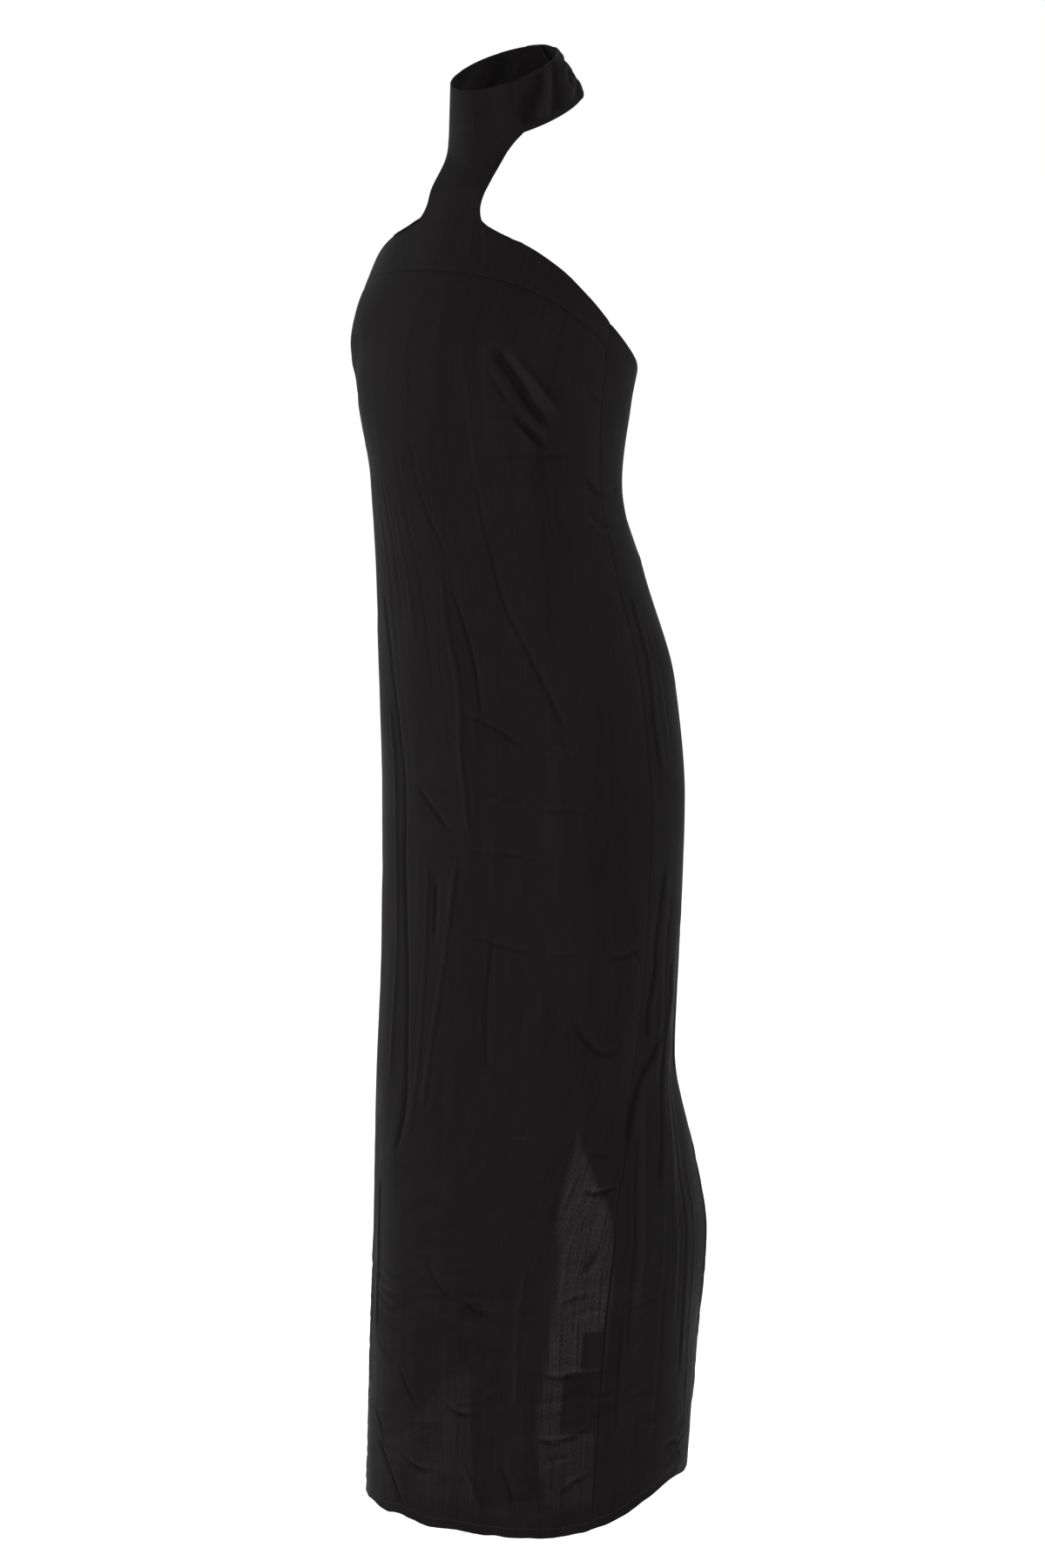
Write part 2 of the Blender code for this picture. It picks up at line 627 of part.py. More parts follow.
def make_zip_slider():
    """The slider's plate with two ears that hold the pull; its origin is on the pull's axis."""
    seat = float(body(math.pi, BACK_TOP + SLIDER_DROP)[1]) + SEAM_GAP
    axis_out = SLIDER_PLATE + SLIDER_EAR_REACH / 2
    ear_in = PULL_KNUCKLE_WIDTH / 2 + SEAM_GAP
    ear_out = ear_in + SLIDER_EAR_WIDTH
    bm = bmesh.new()
    low_end = -SLIDER_HEIGHT * SLIDER_BELOW_AXIS
    rows = (low_end, -SLIDER_EAR_HEIGHT / 2, SLIDER_EAR_HEIGHT / 2, low_end + SLIDER_HEIGHT)
    widths = (-SLIDER_WIDTH / 2, -ear_out, -ear_in, ear_in, ear_out, SLIDER_WIDTH / 2)
    low = [[bm.verts.new((x, -axis_out, z)) for z in rows] for x in widths]
    high = [[bm.verts.new((x, -axis_out + SLIDER_PLATE, z)) for z in rows] for x in widths]
    tops = []
    for i in range(len(widths) - 1):
        for j in range(len(rows) - 1):
            bm.faces.new((low[i][j], low[i + 1][j], low[i + 1][j + 1], low[i][j + 1]))
            top = bm.faces.new((high[i][j], high[i][j + 1], high[i + 1][j + 1], high[i + 1][j]))
            if i in (1, 3) and j == 1:
                tops.append(top)
    last = len(widths) - 1
    ring = [(i, 0) for i in range(last)] + [(last, j) for j in range(3)]
    ring += [(i, 3) for i in range(last, 0, -1)] + [(0, j) for j in range(3, 0, -1)]
    for (i, j), (k, m) in zip(ring, ring[1:] + ring[:1]):
        bm.faces.new((high[i][j], high[k][m], low[k][m], low[i][j]))
    raised = bmesh.ops.extrude_discrete_faces(bm, faces=tops)["faces"]
    for face in raised:
        bmesh.ops.translate(bm, verts=face.verts, vec=(0, SLIDER_EAR_REACH, 0))
    bmesh.ops.recalc_face_normals(bm, faces=bm.faces)
    mesh = bpy.data.meshes.new("zip_slider")
    bm.to_mesh(mesh)
    bm.free()
    material = make_material("slider_metal", DARK_METAL, METAL_ROUGHNESS, 1.0)
    slider = finish_object("zip_slider", mesh, material)
    slider.location = (0, seat + axis_out, -(BACK_TOP + SLIDER_DROP))


def make_zip_pull():
    """The pull: a knuckle between the slider's ears and a tapered tab that hangs from it."""
    seat = float(body(math.pi, BACK_TOP + SLIDER_DROP)[1]) + SEAM_GAP
    half = PULL_THICKNESS / 2
    outline = [(PULL_TOP_WIDTH / 2, 0.0), (PULL_TOP_WIDTH / 2, -PULL_NECK_LENGTH)]
    round_z = -PULL_LENGTH + PULL_LOW_WIDTH / 2
    for step in range(PULL_ROUND_STEPS + 1):
        turn = math.pi * step / (2 * PULL_ROUND_STEPS)
        out = PULL_LOW_WIDTH / 2 * math.cos(turn)
        outline.append((out, round_z - PULL_LOW_WIDTH / 2 * math.sin(turn)))
    outline += [(-x, z) for x, z in reversed(outline[:-1])]
    bm = bmesh.new()
    face = bm.faces.new([bm.verts.new((x, -half, z)) for x, z in outline])
    grown = bmesh.ops.extrude_face_region(bm, geom=[face])["geom"]
    front_verts = [part for part in grown if isinstance(part, bmesh.types.BMVert)]
    bmesh.ops.translate(bm, verts=front_verts, vec=(0, PULL_THICKNESS, 0))
    bmesh.ops.recalc_face_normals(bm, faces=bm.faces)
    tab = bpy.data.meshes.new("zip_pull")
    bm.to_mesh(tab)
    bm.free()
    bm = bmesh.new()
    bmesh.ops.create_cone(
        bm,
        cap_ends=True,
        segments=PULL_KNUCKLE_SIDES,
        radius1=PULL_KNUCKLE_RADIUS,
        radius2=PULL_KNUCKLE_RADIUS,
        depth=PULL_KNUCKLE_WIDTH,
        matrix=Matrix.Rotation(math.pi / 2, 4, "Y"),
    )
    knuckle_mesh = bpy.data.meshes.new("pull_knuckle_form")
    bm.to_mesh(knuckle_mesh)
    bm.free()
    knuckle = bpy.data.objects.new("pull_knuckle_form", knuckle_mesh)
    bpy.context.scene.collection.objects.link(knuckle)
    knuckle.hide_render = True
    knuckle.display_type = "WIRE"
    pull = finish_object("zip_pull", tab, make_material("pull_metal", DARK_METAL, METAL_ROUGHNESS, 1.0))
    pull.location = (0, seat + SLIDER_PLATE + SLIDER_EAR_REACH / 2, -(BACK_TOP + SLIDER_DROP))
    knuckle.location = pull.location
    join = pull.modifiers.new("knuckle", "BOOLEAN")
    join.operation = "UNION"
    join.solver = "EXACT"
    join.object = knuckle


def make_neck_buttons():
    """Two small covered buttons that hold the neckband's lap."""
    material = make_material("button_silk", BLACK_SILK, SILK_ROUGHNESS)
    profile = [(0.0, BUTTON_HEIGHT)]
    for step in range(1, BUTTON_DOME_STEPS + 1):
        turn = math.pi / 2 * step / BUTTON_DOME_STEPS
        rise = BUTTON_RIM_SHARE + (1 - BUTTON_RIM_SHARE) * math.cos(turn)
        profile.append((BUTTON_RADIUS * math.sin(turn), BUTTON_HEIGHT * rise))
    profile += [(BUTTON_RADIUS * BUTTON_BACK_SHARE, 0.0), (0.0, 0.0)]
    for name, height in BUTTON_HEIGHTS.items():
        bm = bmesh.new()
        verts = [bm.verts.new((r, 0, z)) for r, z in profile]
        edges = [bm.edges.new(pair) for pair in zip(verts, verts[1:])]
        bmesh.ops.spin(
            bm,
            geom=verts + edges,
            cent=(0, 0, 0),
            axis=(0, 0, 1),
            angle=2 * math.pi,
            steps=BUTTON_SIDES,
            use_merge=True,
        )
        bmesh.ops.remove_doubles(bm, verts=bm.verts, dist=MERGE_DISTANCE)
        bmesh.ops.recalc_face_normals(bm, faces=bm.faces)
        mesh = bpy.data.meshes.new(name)
        bm.to_mesh(mesh)
        bm.free()
        turn = np.array(BUTTON_TURN)
        fall = np.array(1 - height)
        normal = Vector(outward(neckband, turn, fall))
        button = finish_object(name, mesh, material)
        button.location = Vector(neckband(turn, fall)) + normal * SEAM_GAP
        button.rotation_euler = normal.to_track_quat("Z", "Y").to_euler()


def clear_scene():
    """Removes what the scene starts with."""
    for thing in list(bpy.data.objects):
        bpy.data.objects.remove(thing, do_unlink=True)


def main():
    """Builds the whole dress."""
    clear_scene()
    make_neckband()
    make_yoke()
    make_front_panel()
    make_backs()
    make_lining()
    make_labels()
    make_zip_tape()
    make_zip_slider()
    make_zip_pull()
    make_neck_buttons()


main()
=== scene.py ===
# A full-length black silk halter dress, worn and hollow: the finish of its cloth, seams and zip.
# Metres, +Z up. The wearer faces -Y and the wearer's left is +X. A drop is a depth below the
# neckband's lower edge. An angle turns round the body from the centre front towards the wearer's
# left, in degrees in the tables and in radians in the functions.

import math
from collections import namedtuple

import bmesh
import bpy
import numpy as np
from mathutils import Matrix, Vector


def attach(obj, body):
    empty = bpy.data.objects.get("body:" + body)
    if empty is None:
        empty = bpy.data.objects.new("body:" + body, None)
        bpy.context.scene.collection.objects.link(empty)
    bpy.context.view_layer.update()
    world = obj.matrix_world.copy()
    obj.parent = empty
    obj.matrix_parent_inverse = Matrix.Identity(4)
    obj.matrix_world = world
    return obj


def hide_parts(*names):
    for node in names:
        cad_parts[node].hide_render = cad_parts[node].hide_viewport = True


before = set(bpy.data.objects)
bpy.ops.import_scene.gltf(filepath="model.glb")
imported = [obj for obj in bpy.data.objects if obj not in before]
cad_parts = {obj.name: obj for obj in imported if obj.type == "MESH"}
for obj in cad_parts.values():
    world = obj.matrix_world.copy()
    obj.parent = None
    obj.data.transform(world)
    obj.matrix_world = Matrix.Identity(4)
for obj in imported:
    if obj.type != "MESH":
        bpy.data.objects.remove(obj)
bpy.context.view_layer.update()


def table(columns, *rows):
    """A short table: rows whose columns are read by name."""
    row_form = namedtuple("Row", columns)
    return [row_form(*row) for row in rows]


# The solids' sizes that the cloth follows
WALL = 0.0014
SEAM_GAP = 0.0003
LINING_EASE = 0.0040
LINING_EASE_DROP = 0.070
TRIM_EASE = 0.0009
SLOPE_STEP = 0.0005
BAND_HEIGHT = 0.046
BAND_TILT = math.radians(22)
BAND_LOW_HALF_WIDTH = 0.061
BAND_LOW_HALF_DEPTH = 0.072
BAND_TOP_HALF_WIDTH = 0.049
BAND_TOP_HALF_DEPTH = 0.056
BAND_LAP = math.radians(20)
BAND_LAP_RISE = math.radians(20)
YOKE_JOIN = 0.30
YOKE_JOIN_DROP = 0.042
SIDE_TOP = 0.191
BACK_TOP = 0.285
BACK_TOP_CURVE = 1.7
BUST_LEVEL = 0.300
ZIP_LENGTH = 0.400
ZIP_BELOW_TOP = 0.006
ZIP_TAPE_HALF_WIDTH = 0.010
ZIP_END_RUN = 0.030
BUTTON_RADIUS = 0.0055
BUTTON_TURN = math.pi + BAND_LAP / 2
BUTTON_HEIGHTS = {"neck_button_lower": 0.25, "neck_button_upper": 0.72}

# The cloth's own thicknesses and edges
SILK = 0.0008
LINING_SILK = 0.0005
TAPE = 0.0007
CLOTH_GAP = 0.00003
EDGE_FOLD = 0.0013
EDGE_FOLD_WIDTH = 0.0060
EDGE_FADE = 0.001
HEM_TURN = 0.0090
HEM_THICKNESS = 0.0017
HEM_FADE = 0.0012
SEAM_DIP = 0.0006
SEAM_DIP_WIDTH = 0.0022
PUCKER_HEIGHT = 0.00022
PUCKER_REACH = 0.0110
PUCKER_SLANT = 0.4
GRAIN_HEIGHT = 0.00011
FINE_STREAK_SHARE = 0.6
DRAG_SHARE = 0.8
WRINKLE_HEIGHT = 0.0009
WRINKLE_SLANT = 0.18
WRINKLE_DRIFT = 0.012
WRINKLE_TOP = 0.950
WRINKLE_FADE = 0.220
FOLD_RADIUS = 0.150
FOLD_END = 1.6
SMOOTH_SIDE = 66
SMOOTH_SIDE_SHARE = 0.45
OTHER_SIDE_SHARE = 0.72
NEAREST_EDGE_STEPS = (0.0004, 0.0010, 0.0019, 0.0031)
NOISE_CELLS = 97
ROW_CROWDING = 0.38
CREASE_MARGIN = 4.5
CREASE_SHARPNESS = 0.80
LEVEL_CREASE_GAIN = 1.7
CREASE_FADE = 0.022
CREASE_FADE_SHARE = 0.4
BESIDE_OFFSET = 1.9
BESIDE_WIDTH = 1.5
BESIDE_SHARE = 0.42
LINING_RELIEF = 0.5
HEM_WAVE = 0.0014
HEM_RIPPLE_SHARE = 0.55
RIM_SHARE = 0.8
SHARP_EDGE = math.radians(50)
HEM_GROOVE = 0.00028
SLIT_TOP = 0.950
SLIT_TOP_EASE = 0.004
LABEL_CURL = 0.0008
LABEL_FLAT_SHARE = 0.4
LABEL_CURL_RATE = 90
LABEL_THIN = 0.6
LABEL_END_GAIN = 0.5
LABEL_END_FOLD = 0.004
LINING_HEM_GAIN = 1.4
LINING_HEM_FADE = 0.004

# Stitches and coils: their pitch, length and radius, and how many points their line has
STITCH_RADIUS = 0.00016
STITCH_RISE = 0.3
STITCH_CLEARANCE = 0.0001
STITCH_END = 0.002
Stitch = namedtuple("Stitch", "pitch length radius points")
HEM_STITCH = Stitch(0.0032, 0.0015, STITCH_RADIUS, 700)
LINING_STITCH = Stitch(0.0028, 0.0019, STITCH_RADIUS, 300)
LABEL_STITCH = Stitch(0.0024, 0.0017, STITCH_RADIUS, 30)
TAPE_STITCH = Stitch(0.0025, 0.0018, STITCH_RADIUS, 160)
COIL_TURN = Stitch(0.00100, 0.00086, 0.00085, 160)
BUTTONHOLE_STITCH = Stitch(0.00045, 0.0006, 0.00022, 49)
SKIRT_STITCHED = (-111.5, 247.5)
LINING_STITCHED = ((-111, 23.4), (24.6, 50.5), (67.5, 246.5))
LABEL_SEAM_TURN = 67.0
LABEL_STITCH_OFFSET = 0.0035
TAPE_STITCH_OFFSET = 0.0062
COIL_END = 0.004
COIL_OFFSET = 0.00085
COIL_CLEARANCE = 0.0006
BUTTONHOLE_HALF_LENGTH = 0.0068
BUTTONHOLE_HALF_WIDTH = 0.0009
BUTTONHOLE_RISE = 0.00012

# Covered buttons: each ring's share of the radius, and its rise off the seat
BUTTON_SIDES = 36
BUTTON_GATHER = 0.010
BUTTON_GATHERS = 9
BUTTON_SMOOTH_RINGS = 3
BUTTON_SEAT = SEAM_GAP + WALL / 10
BUTTON_CROWN = 0.0001
BUTTON_STEP = 0.001
BUTTON_PROFILE = (
    (0.18, 0.0036),
    (0.45, 0.0033),
    (0.70, 0.0027),
    (0.88, 0.0019),
    (0.98, 0.0011),
    (1.00, 0.0006),
    (0.93, 0.0002),
    (0.60, 0.0001),
)

# The zip's small metal parts, with their edges rounded
MERGE_DISTANCE = 1e-6
FLAT_ANGLE = math.radians(1)
CORNER_ANGLE = math.radians(30)
ROUND_SEGMENTS = 3
SLIDER_EDGE = 0.0003
PULL_EDGE = 0.00025

# Uneven patterns in the cloth: how far apart their bumps are round the body and down it
Pattern = namedtuple("Pattern", "around down seed")
STREAKS = Pattern(0.011, 0.120, 1)
FINE_STREAKS = Pattern(0.006, 0.070, 2)
DRAGS = Pattern(0.050, 0.016, 3)
PUCKERS = Pattern(0.090, 0.0125, 4)
HEM_WAVES = Pattern(0.031, 1, 5)
HEM_RIPPLES = Pattern(0.0105, 1, 6)
WRINKLE_DRIFTS = Pattern(0.045, 0.06, 7)
WRINKLES = Pattern(0.026, 0.0058, 8)
WRINKLE_PATCHES = Pattern(0.07, 0.045, 9)

# Colours are linear
SILK_DARK = (0.0023, 0.0020, 0.0020, 1)
SILK_LIGHT = (0.0042, 0.0036, 0.0037, 1)
# The silk's colour where painted light shines through its single layer, from dark to light
BACKLIT_VEIL_DARK = (0.0024, 0.0020, 0.0022, 1)
BACKLIT_VEIL_LIGHT = (0.0112, 0.0104, 0.0110, 1)
LINING_DARK = (0.0022, 0.0020, 0.0022, 1)
LINING_LIGHT = (0.0046, 0.0043, 0.0046, 1)
LABEL_DARK = (0.0100, 0.0098, 0.0102, 1)
LABEL_LIGHT = (0.0210, 0.0205, 0.0210, 1)
TAPE_DARK = (0.0050, 0.0050, 0.0054, 1)
TAPE_LIGHT = (0.0105, 0.0105, 0.0110, 1)
THREAD_DARK = (0.0060, 0.0058, 0.0060, 1)
THREAD_LIGHT = (0.0140, 0.0135, 0.0138, 1)
LACQUER = (0.0090, 0.0090, 0.0095, 1)
BARE_ZINC = (0.22, 0.21, 0.20, 1)
COIL_DARK = (0.0070, 0.0070, 0.0075, 1)
COIL_LIGHT = (0.0120, 0.0120, 0.0125, 1)
SILK_SHINE = 0.020

# Painted light and shade in the silk's colour: painted light shining through where it is one layer, kept
# off where the labels and seam allowances lie behind, painted shade and highlight on its creases, and
# painted shade along its seams
SLIT_SOFTNESS = 0.010
HEM_SOFTNESS = 0.013
RAISED_HEM_BACKLIGHT = 0.36
BACKLIGHT_LOW = 0.40
BACKLIGHT_FADE = 0.210
BACKLIGHT_HEM_FADE = 0.036
# Painted shade in the creases' troughs and painted highlight on their ridges
CREASE_SHADE_REACH = 0.0014
CREASE_SHADE_AND_HIGHLIGHT = (0.56, 1.44)
BAND_CREASE_SHADE = 0.7
LABEL_EDGE = 0.0006
SEAM_ALLOWANCE = (0.0010, 0.0026)
# Painted shade along each seam line
SEAM_LINE = (0.0002, 0.0010)
SEAM_SHADE = 0.55

# Grain in the finishes: its bumps to a metre and how they stretch, the weaves' pitches in metres,
# and how strong and how high each relief is
Grain = namedtuple("Grain", "scale detail rough stretch")
PEBBLE = Grain(1500.0, 3.0, 0.6, (1.0, 0.55, 1.0))
STREAK = Grain(420.0, 3.0, 0.55, (1.0, 0.035, 1.0))
SLUB = Grain(60.0, 2.0, 0.5, (1.0, 0.08, 1.0))
CLOUD = Grain(9.0, 2.0, 0.5, (1.0, 1.0, 1.0))
CRACKLE = Grain(900.0, 4.0, 0.65, (1.0, 0.42, 1.0))
LINING_STREAK = Grain(300.0, 2.0, 0.5, (1.0, 0.05, 1.0))
LINING_CLOUD = Grain(12.0, 2.0, 0.5, (1.0, 1.0, 1.0))
TAPE_GRAIN = Grain(900.0, 3.0, 0.6, (1.0, 1.0, 1.0))
TWIST = Grain(2600.0, 2.0, 0.6, (1.0, 1.0, 1.0))
NYLON = Grain(900.0, 2.0, 0.5, (1.0, 1.0, 1.0))
WEAR = Grain(500.0, 4.0, 0.65, (1.0, 1.0, 1.0))
SCRATCH = Grain(1400.0, 3.0, 0.6, (1.0, 1.0, 0.12))
EVEN_SHADE = (0.34, 0.66)
MOST_NOISE = (0.3, 0.7)
WAVE_RATE = 2 * math.pi / 20
SILK_PITCH = 0.00042
LINING_PITCH = 0.00030
RIB_PITCH = 0.0011
HERRINGBONE_WIDTH = 0.0032
Bump = namedtuple("Bump", "strength distance")
SILK_BUMP = Bump(0.55, 0.00022)
LINING_BUMP = Bump(0.35, 0.00012)
TAPE_BUMP = Bump(0.5, 0.00020)
THREAD_BUMP = Bump(0.4, 0.00010)
LACQUER_BUMP = Bump(0.12, 0.00008)
COIL_BUMP = Bump(0.15, 0.00008)

# The camera that the photograph's outline gives
CAMERA_TURN = math.radians(43)
CAMERA_DISTANCE = 4.2
CAMERA_HEIGHT = 0.061
CAMERA_DIP = math.radians(9.5)
CAMERA_SLIDE = 0.0058
CAMERA_LENS = 101.0
CAMERA_REACH = 50

# The pale floor, at the level that the standing wearer's feet would have
FLOOR_HEIGHT = -1.475
FLOOR_REACH = 60.0
FLOOR_CORNERS = ((-1, -1), (1, -1), (1, 1), (-1, 1))

# The worn form: half widths and depths of level rings, and how square each ring is
RINGS = table(
    "drop half_width front back sway square",
    (0.030, 0.072, 0.062, 0.070, 0.000, 2.4),
    (0.050, 0.094, 0.073, 0.078, 0.000, 2.4),
    (0.070, 0.114, 0.083, 0.080, 0.000, 2.3),
    (0.095, 0.130, 0.093, 0.081, 0.000, 2.1),
    (0.120, 0.138, 0.104, 0.082, 0.000, 2.0),
    (0.150, 0.143, 0.119, 0.083, 0.000, 2.1),
    (0.185, 0.145, 0.135, 0.084, 0.000, 2.3),
    (0.220, 0.142, 0.145, 0.085, 0.000, 2.4),
    (0.270, 0.133, 0.145, 0.083, 0.000, 2.3),
    (0.345, 0.121, 0.139, 0.083, 0.000, 2.2),
    (0.430, 0.133, 0.129, 0.098, 0.005, 2.2),
    (0.540, 0.151, 0.119, 0.126, 0.010, 2.2),
    (0.650, 0.158, 0.112, 0.130, 0.013, 2.2),
    (0.780, 0.156, 0.112, 0.127, 0.012, 2.2),
    (0.900, 0.152, 0.119, 0.129, 0.008, 2.2),
    (1.000, 0.156, 0.126, 0.158, 0.006, 2.2),
    (1.090, 0.160, 0.130, 0.182, 0.005, 2.2),
    (1.200, 0.161, 0.132, 0.172, 0.003, 2.2),
    (1.380, 0.160, 0.138, 0.154, 0.002, 2.2),
)

# Where the panels' seams run: the lower skirt is turned a little on the body
SEAMS = table(
    "drop left_side centre_back right_side",
    (0.190, 90, 180, 270),
    (0.215, 90, 180, 270),
    (0.270, 92, 180, 268),
    (0.345, 97, 180, 264),
    (0.450, 92, 180, 268),
    (0.620, 88, 180, 272),
    (0.860, 88, 180, 272),
    (0.950, 82, 175, 266),
    (1.050, 71, 166, 255),
    (1.150, 67, 161, 250),
    (1.400, 66, 160, 248),
)

# The lining's left side seam, which opens below as a slit: its middle, and how far it gapes
LINING_SLIT = table(
    "drop middle gape",
    (0.190, 90, 0),
    (0.300, 90, 0),
    (0.400, 92, 0),
    (0.620, 86, 0),
    (0.800, 76, 0),
    (0.950, 61, 0),
    (0.990, 60, 8),
    (1.055, 60, 20),
    (1.140, 58, 20),
    (1.250, 56, 21),
    (1.340, 59, 14),
)

# The curved seam under the yoke, alike on both sides of the centre front
YOKE_SEAM = table(
    "angle drop",
    (0, 0.1430),
    (20, 0.1441),
    (40, 0.1500),
    (52, 0.1568),
    (64, 0.1696),
    (76, 0.1892),
    (90, 0.2130),
)
YOKE_END = YOKE_SEAM[-1].drop

# The yoke's rows from the neckband down: its edge, and its drop at the edge and centre front
YOKE_ROWS = table(
    "share half_angle edge_drop centre_drop",
    (0.00, 52.0, 0.017, 0.027),
    (0.05, 41.0, 0.029, 0.033),
    (0.10, 33.5, 0.039, 0.040),
    (0.16, 28.5, 0.049, 0.048),
    (0.22, 25.5, 0.060, 0.056),
    (0.34, 22.5, 0.083, 0.073),
    (0.42, 25.0, 0.096, 0.083),
    (0.50, 36.0, 0.107, 0.092),
    (0.60, 52.0, 0.119, 0.101),
    (0.70, 66.0, 0.139, 0.111),
    (0.80, 77.0, 0.163, 0.121),
    (0.91, 90.0, 0.191, 0.134),
    (1.00, 101.0, 0.213, 0.143),
)

# The hems' drops round the skirt, from the right side seam round the front to it again
HEMS = table(
    "angle outer lining",
    (-112, 1.350, 1.320),
    (-60, 1.357, 1.325),
    (-40, 1.356, 1.323),
    (-22, 1.354, 1.290),
    (-8, 1.353, 1.260),
    (10, 1.354, 1.205),
    (19, 1.351, 1.190),
    (24, 1.350, 1.325),
    (46, 1.353, 1.325),
    (70, 1.345, 1.325),
    (90, 1.329, 1.308),
    (105, 1.320, 1.298),
    (120, 1.321, 1.297),
    (180, 1.332, 1.306),
    (248, 1.350, 1.320),
)

# The cloth's largest folds: soft troughs and ridges between two places on the body
FOLDS = table(
    "from_angle from_drop to_angle to_drop bow width depth",
    (41, 0.206, 68, 0.290, 0.004, 0.012, -0.0034),
    (47, 0.208, 72, 0.276, 0.003, 0.011, 0.0022),
    (48, 0.268, 68, 0.312, 0.003, 0.010, -0.0022),
    (-38, 0.205, -66, 0.285, 0.004, 0.013, -0.0024),
    (10, 0.410, 14, 0.690, -0.004, 0.013, 0.0022),
    (16, 0.430, 24, 0.580, 0.004, 0.014, -0.0024),
    (40, 0.450, 58, 0.590, 0.005, 0.018, -0.0024),
    (-34, 0.450, -27, 0.960, 0.004, 0.020, -0.0034),
    (6, 0.690, -8, 0.900, 0.004, 0.017, 0.0022),
    (-10, 0.690, -6, 0.900, 0.000, 0.016, -0.0024),
    (95, 0.740, 80, 0.980, 0.006, 0.016, -0.0044),
    (106, 0.800, 96, 1.060, 0.005, 0.018, 0.0036),
    (118, 0.760, 108, 1.060, 0.004, 0.017, -0.0040),
    (136, 0.700, 132, 1.200, 0.006, 0.026, 0.0050),
    (158, 0.560, 152, 1.150, -0.004, 0.024, -0.0050),
    (186, 0.620, 178, 1.280, 0.005, 0.028, 0.0040),
    (212, 0.560, 200, 1.200, -0.005, 0.024, -0.0046),
    (238, 0.700, 226, 1.300, 0.004, 0.026, 0.0040),
    (262, 0.620, 244, 1.150, -0.004, 0.022, -0.0040),
    (-58, 0.700, -66, 1.250, 0.004, 0.024, 0.0030),
    (32, 1.000, 30, 1.350, 0.004, 0.024, 0.0030),
    (4, 1.050, 6, 1.360, 0.003, 0.026, -0.0030),
    (84, 1.080, 82, 1.340, 0.004, 0.020, -0.0036),
    (140, 0.300, 120, 0.420, 0.004, 0.014, -0.0026),
    (220, 0.300, 240, 0.420, -0.004, 0.014, -0.0026),
)

# Crumples in the neckband, by the turn round the neck and the share of its height, the large first
CRUMPLES = table(
    "from_turn from_height to_turn to_height width depth",
    (86, 1.00, 52, 0.10, 0.0060, -0.0022),
    (98, 0.95, 68, 0.05, 0.0055, 0.0020),
    (112, 1.00, 82, 0.10, 0.0065, -0.0026),
    (130, 0.90, 104, 0.15, 0.0060, 0.0018),
    (158, 1.04, 104, 0.56, 0.0034, 0.0019),
    (156, 0.86, 108, 0.38, 0.0030, -0.0019),
    (166, 0.74, 106, 0.20, 0.0036, 0.0021),
    (160, 0.50, 112, 0.08, 0.0030, -0.0019),
    (168, 0.38, 116, 0.00, 0.0034, 0.0018),
    (-84, 1.00, -56, 0.15, 0.0060, -0.0020),
    (-108, 0.95, -80, 0.05, 0.0065, 0.0020),
    (-132, 1.00, -110, 0.10, 0.0065, -0.0022),
    (76, 0.96, 47, 0.30, 0.0020, -0.0007),
    (91, 1.00, 63, 0.30, 0.0022, -0.0009),
    (104, 0.92, 76, 0.02, 0.0024, -0.0010),
    (118, 1.00, 96, 0.42, 0.0020, 0.0008),
    (124, 0.80, 110, 0.05, 0.0026, -0.0010),
    (142, 0.98, 128, 0.25, 0.0024, 0.0008),
    (156, 0.75, 146, 0.08, 0.0022, -0.0006),
    (30, 0.62, 8, 0.50, 0.0026, -0.0004),
    (12, 0.30, -14, 0.24, 0.0024, 0.0004),
    (-40, 0.82, -22, 0.38, 0.0024, -0.0005),
    (-74, 1.00, -50, 0.40, 0.0022, -0.0008),
    (-96, 0.90, -70, 0.12, 0.0022, 0.0007),
    (-120, 1.00, -98, 0.30, 0.0024, -0.0009),
    (-146, 0.88, -130, 0.10, 0.0024, 0.0007),
)

